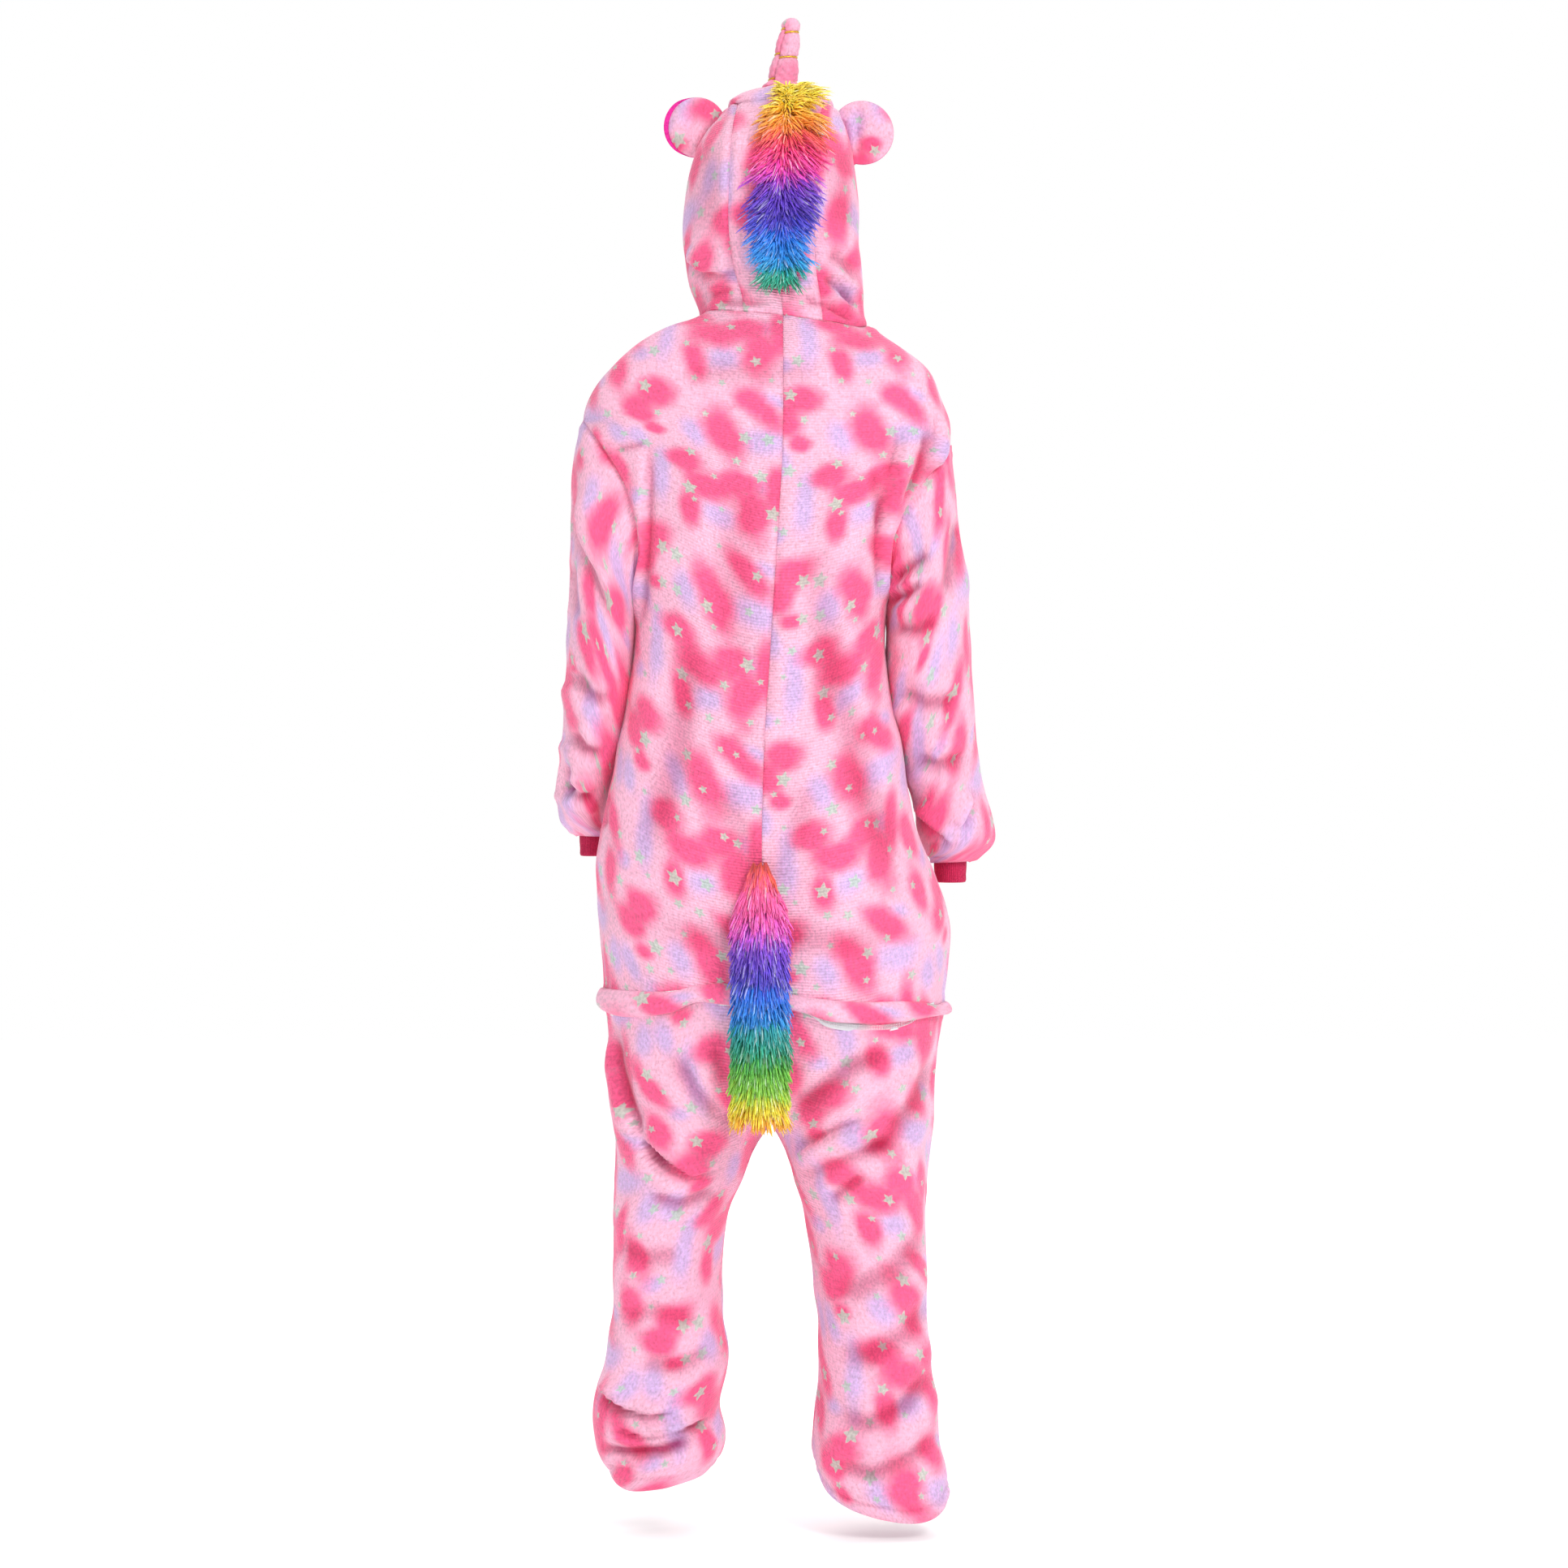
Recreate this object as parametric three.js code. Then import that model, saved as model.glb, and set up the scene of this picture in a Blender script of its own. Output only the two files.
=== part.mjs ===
// Unicorn onesie: a hooded fleece one-piece worn upright, built from the pieces a maker cuts and sews.
// Millimetres. +Z up, +Y the way the wearer faces, +X to the wearer's right. The origin is the middle of
// the neck opening at shoulder height, where the wearer carries the garment.
import * as THREE from "three";

// ---------- driving sizes ----------
const CLOTH = 2.2; // thickness of the fleece
const SEAM_GAP = 0.4; // clearance between two pieces at a seam
const SQUARENESS = 2.3; // exponent of the body's cross-sections; 2 is an ellipse
const HOOD_SQUARENESS = 2.15;
const ZIP_TOP = -786; // lower edge of the upper back
const ZIP_BOTTOM = -802; // upper edge of the seat
const CROTCH = -926;
const CROWN = 275; // top of the hood
const BROW = 222; // where the face opening ends
const STRIP_TOP = 250; // where the hood's side panels stop and the strip runs over the crown
const STRIP_HALF = 49; // half the hood strip's width
const PLACKET_HALF = 17;
const BUTTON_R = 9.5;
const BUTTONS = 6;

const LEFT = -1;
const RIGHT = 1;
const SIDES = [
  [LEFT, "left"],
  [RIGHT, "right"],
];

// ---------- colours ----------
const finish = (color, roughness) => new THREE.MeshStandardMaterial({ color, roughness, metalness: 0 });
const FLEECE = finish(0xf59ac6, 0.95);
const HOT_PINK = finish(0xe0186f, 0.9);
const HORN_PLUSH = finish(0xf7b3d6, 0.95);
const TINSEL = finish(0x7a5fd6, 0.45);
const ZIP_GREY = finish(0xe3e4e8, 0.5);
const BUTTON_PINK = finish(0xd81b6a, 0.35);

// ---------- small helpers ----------
const mix = (a, b, t) => a + (b - a) * t;
const clamp01 = (t) => Math.min(1, Math.max(0, t));
const smooth = (t) => clamp01(t) ** 2 * (3 - 2 * clamp01(t));
const power = (v, e) => Math.sign(v) * Math.abs(v) ** e;
const steps = (n, f) => Array.from({ length: n + 1 }, (_, i) => f(i / n, i));

// A smooth curve through stations [[key, a, b, ...], ...] in rising order of key: gives (key) => [a, b, ...].
function through(stations) {
  const slope = (i, k) => {
    const lo = stations[Math.max(0, i - 1)];
    const hi = stations[Math.min(stations.length - 1, i + 1)];
    return (hi[k] - lo[k]) / (hi[0] - lo[0]);
  };
  return (key) => {
    let i = stations.findIndex((s) => s[0] >= key);
    if (i === -1) i = stations.length - 1;
    i = Math.max(1, i);
    const [a, b] = [stations[i - 1], stations[i]];
    const h = b[0] - a[0];
    const t = clamp01((key - a[0]) / h);
    return a.slice(1).map((v, n) => {
      const k = n + 1;
      const [m0, m1] = [slope(i - 1, k) * h, slope(i, k) * h];
      return (
        (2 * t ** 3 - 3 * t ** 2 + 1) * v +
        (t ** 3 - 2 * t ** 2 + t) * m0 +
        (3 * t ** 2 - 2 * t ** 3) * b[k] +
        (t ** 3 - t ** 2) * m1
      );
    });
  };
}

// ---------- the body's form: height, middle x, left and right half-widths, back and front depths ----------
const BODY = through([
  [-930, -5, 181, 189, 118, 112],
  [-860, -4, 184, 190, 124, 118],
  [-780, -5, 191, 200, 130, 122],
  [-700, -8, 196, 208, 132, 124],
  [-640, -14, 193, 198, 130, 126],
  [-590, -15, 187, 178, 126, 126],
  [-540, -14, 177, 166, 120, 124],
  [-480, -12, 167, 154, 114, 122],
  [-420, -8, 160, 137, 111, 121],
  [-340, -3, 156, 130, 113, 122],
  [-260, 2, 178, 146, 116, 121],
  [-200, 6, 202, 172, 116, 117],
  [-160, 8, 219, 192, 113, 111],
  [-113, 9, 231, 193, 106, 102],
  [-80, 9, 222, 181, 100, 96],
  [-50, 9, 200, 167, 94, 91],
  [-24, 9, 160, 137, 85, 86],
  [-6, 9, 108, 108, 76, 80],
  [0, 9, 98, 98, 73, 78],
]);
// The front of the neck opening dips below its back.
const NECK_DIP = 46;
const dip = (y, z) => -NECK_DIP * smooth((y + 20) / 100) * smooth(1 + z / 230);

// A point of the body at a height, on a side, at an angle from -90 (middle back) over 0 (side) to 90 (middle front).
function body(side, z, angle) {
  const [middle, left, right, back, front] = BODY(z);
  const a = THREE.MathUtils.degToRad(angle);
  const x = middle + side * (side < 0 ? left : right) * power(Math.cos(a), 2 / SQUARENESS);
  const y = (angle < 0 ? back : front) * power(Math.sin(a), 2 / SQUARENESS);
  return new THREE.Vector3(x, y, z + dip(y, z));
}

// ---------- armholes: a closed curve on the body, from its top (0) over the back (90) to the underarm (180) ----------
const ARMHOLE = {
  [LEFT]: { top: -110, bottom: -318, back: 68, front: 70 },
  [RIGHT]: { top: -138, bottom: -318, back: 64, front: 70 },
};
function armholeAngle(side, turn) {
  const hole = ARMHOLE[side];
  const z = mix(hole.bottom, hole.top, (1 + Math.cos(turn)) / 2);
  const [, , , back, front] = BODY(z);
  const reach = Math.sin(turn) * (Math.sin(turn) > 0 ? hole.back : hole.front);
  const depth = reach > 0 ? back : front;
  return { z, angle: -THREE.MathUtils.radToDeg(Math.asin(power(reach / depth, SQUARENESS / 2))) };
}
const armhole = (side, turn) => {
  const { z, angle } = armholeAngle(side, turn);
  return body(side, z, angle);
};

// ---------- one welded surface, whose faces carry the name of the piece they belong to ----------
class Cloth {
  points = [];
  normals = [];
  faces = [];
  index = new Map();

  at(p) {
    const key = [p.x, p.y, p.z].map((v) => Math.round(v * 20)).join();
    if (!this.index.has(key)) {
      this.index.set(key, this.points.length);
      this.points.push(p.clone());
    }
    return this.index.get(key);
  }

  // rows: equal-length lists of points. The faces point outwards where going along a row, then down, turns left.
  patch(piece, rows, flip) {
    for (let r = 0; r + 1 < rows.length; r++) {
      for (let c = 0; c + 1 < rows[r].length; c++) {
        const quad = [rows[r][c], rows[r][c + 1], rows[r + 1][c + 1], rows[r + 1][c]].map((p) => this.at(p));
        if (flip) quad.reverse();
        for (const [i, j, k] of [
          [0, 1, 2],
          [0, 2, 3],
        ]) {
          const face = [quad[i], quad[j], quad[k]];
          if (new Set(face).size === 3) this.faces.push({ piece, face });
        }
      }
    }
  }

  smoothNormals() {
    this.normals = this.points.map(() => new THREE.Vector3());
    for (const { face } of this.faces) {
      const n = this.faceNormal(face);
      for (const v of face) this.normals[v].add(n);
    }
    for (const n of this.normals) n.normalize();
  }

  faceNormal([a, b, c]) {
    const [p, q, r] = [this.points[a], this.points[b], this.points[c]];
    return q.clone().sub(p).cross(r.clone().sub(p));
  }

  // The piece as a closed wall between two offsets from the surface, drawn in at its edges to leave the seam gap.
  wall(piece, outer = 0, inner = -CLOTH) {
    const faces = this.faces.filter((f) => f.piece === piece).map((f) => f.face);
    const once = new Map();
    for (const face of faces) {
      for (let i = 0; i < 3; i++) {
        const [a, b] = [face[i], face[(i + 1) % 3]];
        if (once.has(`${b},${a}`)) once.delete(`${b},${a}`);
        else once.set(`${a},${b}`, { a, b, face });
      }
    }
    const inward = new Map();
    for (const { a, b, face } of once.values()) {
      const along = this.points[b].clone().sub(this.points[a]).normalize();
      const m = this.faceNormal(face).normalize().cross(along);
      for (const v of [a, b]) inward.set(v, [...(inward.get(v) ?? []), m]);
    }
    const used = [...new Set(faces.flat())];
    const order = new Map(used.map((v, i) => [v, i]));
    const place = (v, offset) => {
      const p = this.points[v].clone().addScaledVector(this.normals[v], offset);
      const ways = inward.get(v);
      if (!ways) return p;
      const sum = ways.reduce((s, m) => s.add(m), new THREE.Vector3());
      const share = Math.max(0.5, 1 + ways[0].dot(ways.at(-1)));
      return p.addScaledVector(sum, SEAM_GAP / 2 / share);
    };
    const position = [outer, inner].flatMap((offset) => used.flatMap((v) => place(v, offset).toArray()));
    const n = used.length;
    const triangles = faces.flatMap((f) => {
      const [a, b, c] = f.map((v) => order.get(v));
      return [a, b, c, c + n, b + n, a + n];
    });
    for (const { a, b } of once.values()) {
      const [p, q] = [order.get(a), order.get(b)];
      triangles.push(q, p, p + n, q, p + n, q + n);
    }
    return solid(position, triangles);
  }
}

function solid(position, triangles) {
  const g = new THREE.BufferGeometry();
  g.setAttribute("position", new THREE.Float32BufferAttribute(position, 3));
  g.setIndex(triangles);
  g.computeVertexNormals();
  return g;
}

const onesie = new THREE.Group();
onesie.name = "unicorn_onesie";
function add(name, geometry, material, group = onesie) {
  const mesh = new THREE.Mesh(geometry, material);
  mesh.name = name;
  group.add(mesh);
  return mesh;
}

// ---------- upper body: backs and fronts down to the seat zip ----------
const COLUMNS = 6;
const SHOULDER_ROWS = [0, -6, -24, -50, -80];
const ARMHOLE_ROWS = 7;
const SIDE_ROWS = [-375, -430, -485, -540, -590, -640, -700, ZIP_TOP];

// Rows of the body from the neck to the zip, for one side: each is { z at the middle, z at the edge, edge angle }.
function upperRows(side, backHalf) {
  const way = backHalf ? -1 : 1;
  const { top, bottom } = ARMHOLE[side];
  const centre = (t) => mix(-108, -340, t);
  const shoulder = SHOULDER_ROWS.map((z) => ({ middle: z, edge: (z * top) / -113, angle: 0 }));
  const hole = steps(ARMHOLE_ROWS, (t) => {
    const { z, angle } = armholeAngle(side, -way * Math.PI * t);
    return { middle: centre(t), edge: z, angle };
  });
  const below = SIDE_ROWS.map((z) => ({ middle: z, edge: z + (bottom + 318) * smooth((z + 600) / 250), angle: 0 }));
  return [...shoulder, ...hole, ...below];
}

function upperPatch(side, backHalf) {
  const start = backHalf ? -90 : 90;
  return upperRows(side, backHalf).map((row) =>
    steps(COLUMNS, (t) => body(side, mix(row.middle, row.edge, smooth(t)), mix(start, row.angle, t))),
  );
}

// ---------- legs: inner x, outer x, middle y, back and front depths, from the crotch to the hem ----------
const LEG = {
  [LEFT]: through([
    [-1342, -78, -184, 12, 52, 58],
    [-1328, -64, -194, 12, 62, 66],
    [-1300, -58, -207, 12, 71, 72],
    [-1260, -66, -211, 12, 70, 72],
    [-1203, -56, -197, 14, 72, 74],
    [-1147, -62, -189, 16, 75, 76],
    [-1090, -63, -188, 16, 78, 78],
    [-1034, -57, -188, 14, 84, 84],
    [-985, -38, -187, 10, 93, 92],
    [-950, -21, -186, 5, 104, 101],
    [CROTCH, -5, -186, 0, 106, 101],
  ]),
  [RIGHT]: through([
    [-1352, 52, 198, -14, 62, 60],
    [-1325, 43, 196, -14, 68, 68],
    [-1297, 44, 188, -12, 70, 71],
    [-1260, 48, 186, -10, 72, 73],
    [-1200, 52, 178, -4, 74, 75],
    [-1147, 50, 175, 2, 76, 77],
    [-1090, 45, 174, 6, 79, 79],
    [-1034, 38, 174, 6, 85, 84],
    [-985, 23, 177, 4, 94, 92],
    [-950, 8, 181, 2, 104, 101],
    [CROTCH, -5, 184, 0, 106, 101],
  ]),
};
// How far the hem hangs below its station at the back and at the front.
const HEM_SAG = { [LEFT]: [-8, 2], [RIGHT]: [-34, 4] };

// A point of a leg at a height and at an angle from 0 (outside) over -90 (back) or 90 (front) to 180 (inside).
function leg(side, z, angle) {
  const [inner, outer, middle, back, front] = LEG[side](z);
  const a = THREE.MathUtils.degToRad(angle);
  const x = (inner + outer) / 2 + ((outer - inner) / 2) * power(Math.cos(a), 2 / SQUARENESS);
  const backHalf = angle < 0;
  const y = middle + (backHalf ? back : front) * power(Math.sin(a), 2 / SQUARENESS);
  const bottom = LEG_ROWS[side].at(-1);
  const sag = HEM_SAG[side][backHalf ? 0 : 1] * Math.abs(Math.sin(a)) * smooth(1 - (z - bottom) / 130);
  return new THREE.Vector3(x, y, z + sag);
}

// Between the zip and the crotch the body's section turns into the leg's; blend is 1 at the body and 0 at the leg.
function seat(side, z, backHalf, t) {
  const blend = clamp01((z - CROTCH) / (ZIP_TOP - CROTCH));
  const round = Math.sqrt(1 - (1 - blend) ** 2);
  const way = backHalf ? -1 : 1;
  const [middle] = BODY(z);
  const onBody = body(side, z, way * 90 * (1 - t));
  const [, left, right, back, front] = BODY(z);
  const half = (side < 0 ? left : right) / 2;
  const a = Math.PI * (1 - t);
  const depth = (backHalf ? back : front) * 0.9;
  const onLeg = new THREE.Vector3(
    middle + side * half * (1 + power(Math.cos(a), 2 / SQUARENESS)),
    way * depth * power(Math.sin(a), 2 / SQUARENESS),
    z,
  );
  const p = onLeg.lerp(onBody, round);
  p.y *= 1 + 0.5 * round * (1 - round); // the cloth stays full where one section turns into the other
  return p;
}

const SEAT_ROWS = [-815, -840, -866, -890, -908, -919];
const LEG_ROWS = {
  [LEFT]: [-950, -985, -1034, -1090, -1147, -1203, -1240, -1270, -1300, -1322, -1342],
  [RIGHT]: [-950, -985, -1034, -1090, -1147, -1200, -1240, -1275, -1305, -1330, -1352],
};
const LEG_COLUMNS = 6;
function lowerPatch(side, backHalf, first) {
  const way = backHalf ? -1 : 1;
  const crotch = new THREE.Vector3(BODY(CROTCH)[0], 0, CROTCH);
  const rows = [first, ...SEAT_ROWS].map((z) => steps(LEG_COLUMNS, (t) => seat(side, z, backHalf, t)));
  rows.push(steps(LEG_COLUMNS, (t) => (t === 0 ? crotch : seat(side, CROTCH, backHalf, t))));
  for (const z of LEG_ROWS[side]) {
    rows.push(steps(LEG_COLUMNS, (t) => leg(side, z, t === 0 ? 180 : t === 1 ? 0 : way * 180 * (1 - t))));
  }
  return rows;
}

// The backs, fronts and legs are each one cut piece. Each is given here in lengths, so that collision stays open inside.
const WAIST_ROW = SHOULDER_ROWS.length + ARMHOLE_ROWS + 2; // the row at z -430
const LEG_TOP_ROW = SEAT_ROWS.length + 2; // the row at z -950
const garment = new Cloth();
for (const [side, word] of SIDES) {
  const back = upperPatch(side, true);
  garment.patch(`back_${word}_upper`, back.slice(0, WAIST_ROW + 1), side > 0);
  garment.patch(`back_${word}_lower`, back.slice(WAIST_ROW), side > 0);
  const behind = lowerPatch(side, true, ZIP_BOTTOM);
  garment.patch(`seat_${word}`, behind.slice(0, LEG_TOP_ROW + 1), side > 0);
  garment.patch(`leg_back_${word}`, behind.slice(LEG_TOP_ROW), side > 0);
  const front = upperPatch(side, false);
  garment.patch(`front_${word}_chest`, front.slice(0, WAIST_ROW + 1), side < 0);
  garment.patch(`front_${word}_waist`, front.slice(WAIST_ROW), side < 0);
  const below = lowerPatch(side, false, ZIP_BOTTOM);
  garment.patch(`front_${word}_seat`, [front.at(-1), ...below.slice(0, LEG_TOP_ROW + 1)], side < 0);
  garment.patch(`leg_front_${word}`, below.slice(LEG_TOP_ROW), side < 0);
}

// ---------- sleeves: outer x and z, inner x and z, half-depth, middle y, from the armhole to the cuff ----------
const SLEEVE = {
  [LEFT]: through([
    [0, -228, -110, -160, -318, 69, 1],
    [1, -232, -150, -163, -332, 72, 3],
    [2, -235, -205, -166, -354, 73, 5],
    [3, -237, -268, -170, -386, 72, 6],
    [4, -240, -335, -175, -424, 70, 10],
    [5, -243, -404, -182, -466, 68, 17],
    [6, -247, -462, -190, -506, 65, 30],
    [7, -251, -508, -197, -538, 61, 46],
    [8, -254, -545, -203, -562, 56, 60],
    [9, -252, -573, -203, -580, 47, 71],
    [10, -241, -586, -198, -588, 37, 77],
    [11, -235, -593, -199, -594, 34, 79],
  ]),
  [RIGHT]: through([
    [0, 204, -140, 128, -322, 66, 1],
    [1, 208, -176, 131, -340, 69, 3],
    [2, 213, -230, 133, -366, 71, 5],
    [3, 219, -288, 135, -400, 71, 6],
    [4, 225, -344, 140, -438, 70, 10],
    [5, 229, -404, 149, -478, 68, 18],
    [6, 234, -464, 159, -520, 66, 30],
    [7, 240, -520, 166, -558, 63, 44],
    [8, 253, -566, 170, -590, 60, 56],
    [9, 258, -596, 178, -612, 54, 65],
    [10, 245, -614, 183, -618, 42, 71],
    [11, 229, -623, 184, -625, 35, 74],
  ]),
};
const SLEEVE_STATIONS = 11;
const SLEEVE_ROWS = 13;
// A point of a sleeve at a station, at a turn from the outside (0) over the back (90) to the inside (180).
function sleeve(side, station, turn) {
  const [ox, oz, ix, iz, depth, middle] = SLEEVE[side](station);
  const t = (1 + Math.cos(turn)) / 2;
  const free = new THREE.Vector3(mix(ix, ox, t), middle - depth * Math.sin(turn), mix(iz, oz, t));
  const held = armhole(side, turn);
  return free.lerp(held, 1 - smooth(station / 1.6));
}
function sleevePatch(side, backHalf) {
  const way = backHalf ? 1 : -1;
  return steps(SLEEVE_ROWS, (t) => {
    const station = t * SLEEVE_STATIONS;
    return steps(ARMHOLE_ROWS, (u) =>
      t === 0 ? armhole(side, way * Math.PI * u) : sleeve(side, station, way * Math.PI * u),
    );
  });
}
for (const [side, word] of SIDES) {
  garment.patch(`sleeve_${word}_back`, sleevePatch(side, true), side < 0);
  garment.patch(`sleeve_${word}_front`, sleevePatch(side, false), side > 0);
}

garment.smoothNormals();
for (const piece of new Set(garment.faces.map((f) => f.piece))) add(piece, garment.wall(piece), FLEECE);

// ---------- cuffs: a ribbed band inside each sleeve's blouse ----------
const CUFF_HEIGHT = 30;
const CUFF_WALL = 2.6;
const CUFF_OVERLAP = 7; // how far the cuff reaches up inside the sleeve
function ellipseRing(rx, ry) {
  return new THREE.Shape(new THREE.Path().absellipse(0, 0, rx, ry, 0, Math.PI * 2).getPoints(10));
}
for (const [side, word] of SIDES) {
  const [ox, , ix, iz, depth, middle] = SLEEVE[side](SLEEVE_STATIONS);
  const rx = Math.abs(ox - ix) / 2 - CLOTH - 1.8;
  const ry = depth - CLOTH - 1.8;
  const ring = ellipseRing(rx, ry);
  ring.holes.push(new THREE.Path().absellipse(0, 0, rx - CUFF_WALL, ry - CUFF_WALL, 0, Math.PI * 2));
  const g = new THREE.ExtrudeGeometry(ring, { depth: CUFF_HEIGHT, bevelEnabled: false, curveSegments: 20 });
  const cuff = add(`cuff_${word}`, g, HOT_PINK);
  cuff.position.set((ox + ix) / 2, middle, iz + CUFF_OVERLAP - CUFF_HEIGHT);
}

// ---------- hood: height, middle x, half-widths left and right, back y, front y ----------
const HOOD = through([
  [0, 9, 97, 97, -72.5, 77.5],
  [28, 6, 95, 97, -66, 82],
  [56, 0, 102, 101, -68, 87],
  [94, -4, 103, 102, -84, 92],
  [141, -4, 101, 101, -98, 96],
  [188, -2, 95, 94, -101, 97],
  [221, 1, 83, 84, -91, 90],
  [244, 5, 67, 69, -75, 77],
  [STRIP_TOP, 6, 61, 62, -69, 72],
]);
// Half the width of the face opening, from the neck's front to the brow.
const FACE = through([
  [0, 3],
  [20, 26],
  [50, 52],
  [100, 68],
  [150, 71],
  [190, 64],
  [BROW, STRIP_HALF],
]);
const stripHalf = (z) => STRIP_HALF - 4 * smooth(1 - z / 120);

function hood(side, z, angle) {
  const [middle, left, right, back, front] = HOOD(z);
  const a = THREE.MathUtils.degToRad(angle);
  const x = middle + side * (side < 0 ? left : right) * power(Math.cos(a), 2 / HOOD_SQUARENESS);
  const centre = (back + front) / 2;
  const y = centre + ((front - back) / 2) * power(Math.sin(a), 2 / HOOD_SQUARENESS);
  return new THREE.Vector3(x, y, z + dip(y, 0) * smooth(1 - z / 90));
}
// The angle at which the hood's section is this far from its middle.
function hoodAngle(side, z, x) {
  const [, left, right] = HOOD(z);
  const share = Math.min(1, x / (side < 0 ? left : right));
  return THREE.MathUtils.radToDeg(Math.acos(share ** (HOOD_SQUARENESS / 2)));
}

const HOOD_ROWS = [0, 14, 30, 56, 94, 141, 185, BROW, 238, STRIP_TOP];
const HOOD_COLUMNS = 8;
const STRIP_COLUMNS = 2;
function hoodSide(side) {
  return HOOD_ROWS.map((z) => {
    const from = -hoodAngle(side, z, stripHalf(z));
    const to = hoodAngle(side, z, z < BROW ? FACE(z)[0] : stripHalf(z));
    return steps(HOOD_COLUMNS, (t) => hood(side, z, mix(from, to, t)));
  });
}
// The strip runs up the back, over the crown along the side panel's top row, and down to the brow.
function hoodStrip(side) {
  const upright = (z, way) => {
    const edge = way * hoodAngle(side, z, stripHalf(z));
    return steps(STRIP_COLUMNS, (t) => hood(side, z, mix(way * 90, edge, t)));
  };
  const top = hoodSide(side).at(-1);
  const [middle, , , back, front] = HOOD(STRIP_TOP);
  const over = top.slice(1, -1).map((seam, i) => {
    const turn = Math.PI * ((i + 1) / HOOD_COLUMNS);
    const y = mix(back, front, (1 - Math.cos(turn)) / 2);
    const z = STRIP_TOP + (CROWN - STRIP_TOP) * Math.sin(turn);
    return steps(STRIP_COLUMNS, (t) => {
      const [s, c] = [Math.sin((Math.PI / 2) * t), Math.cos((Math.PI / 2) * t)];
      return new THREE.Vector3(mix(middle, seam.x, s), mix(seam.y, y, c), mix(seam.z, z, c));
    });
  });
  return [
    ...HOOD_ROWS.map((z) => upright(z, -1)),
    ...over,
    ...HOOD_ROWS.filter((z) => z >= BROW)
      .reverse()
      .map((z) => upright(z, 1)),
  ];
}

const hoodCloth = new Cloth();
for (const [side, word] of SIDES) {
  hoodCloth.patch(`hood_${word}`, hoodSide(side), side < 0);
  hoodCloth.patch(`hood_strip_${word}`, hoodStrip(side), side < 0);
}
hoodCloth.smoothNormals();
const hoodGroup = new THREE.Group();
hoodGroup.position.z = SEAM_GAP;
onesie.add(hoodGroup);
for (const piece of new Set(hoodCloth.faces.map((f) => f.piece))) add(piece, hoodCloth.wall(piece), FLEECE, hoodGroup);

// ---------- ears: a patterned back and a plain lining, set along the hood's side ----------
const EAR = {
  [LEFT]: { low: 196, high: 247, x: -92, z: 233, r: 35 },
  [RIGHT]: { low: 188, high: 246, x: 101, z: 227, r: 37 },
};
const EAR_LAYER = 6;
function earShape(side) {
  const { low, high, x, z, r } = EAR[side];
  const base = steps(6, (t) => hood(side, mix(high, low, t), 0)).map((p) => [p.x + side * 1.2, p.z]);
  const from = Math.atan2(base.at(-1)[1] - z, base.at(-1)[0] - x);
  const to = Math.atan2(base[0][1] - z, base[0][0] - x);
  const turn = side < 0 ? to - from - (to > from ? 2 * Math.PI : 0) : to - from + (to < from ? 2 * Math.PI : 0);
  const arc = steps(14, (t) => [x + r * Math.cos(from + turn * t), z + r * Math.sin(from + turn * t)]).slice(1, -1);
  return new THREE.Shape([...base, ...arc].map(([px, pz]) => new THREE.Vector2(px, pz)));
}
for (const [side, word] of SIDES) {
  for (const [layer, piece, material] of [
    [0, "ear_back", FLEECE],
    [1, "ear_lining", HOT_PINK],
  ]) {
    const g = new THREE.ExtrudeGeometry(earShape(side), { depth: EAR_LAYER - SEAM_GAP, bevelEnabled: false });
    const ear = add(`${piece}_${word}`, g, material);
    ear.rotation.x = Math.PI / 2;
    ear.position.y = EAR_LAYER * layer + 4;
  }
}

// ---------- horn: a stuffed cone pulled in by a wound thread ----------
const HORN = { x: 10, y: 14, foot: CROWN + 3, tip: 360, base: 20.5, waist: 17.5, top: 9.5 };
const HORN_BULGES = 4;
function hornProfile() {
  const { foot, tip, base, waist, top } = HORN;
  const height = tip - foot;
  const points = [new THREE.Vector2(0, 0), new THREE.Vector2(base - 2, 0), new THREE.Vector2(base, 4)];
  for (let bulge = 0; bulge < HORN_BULGES; bulge++) {
    const low = 8 + ((height - 12) * bulge) / HORN_BULGES;
    const high = 8 + ((height - 12) * (bulge + 1)) / HORN_BULGES;
    const r = mix(waist, top, bulge / (HORN_BULGES - 1));
    points.push(new THREE.Vector2(r * 0.86, low), new THREE.Vector2(r, mix(low, high, 0.45)));
    if (bulge === HORN_BULGES - 1) points.push(new THREE.Vector2(r * 0.75, high));
  }
  points.push(new THREE.Vector2(0, height));
  return points;
}
const hornMesh = add("horn", new THREE.LatheGeometry(hornProfile(), 16), HORN_PLUSH);
hornMesh.rotation.x = Math.PI / 2;
hornMesh.position.set(HORN.x, HORN.y, HORN.foot);

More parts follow.
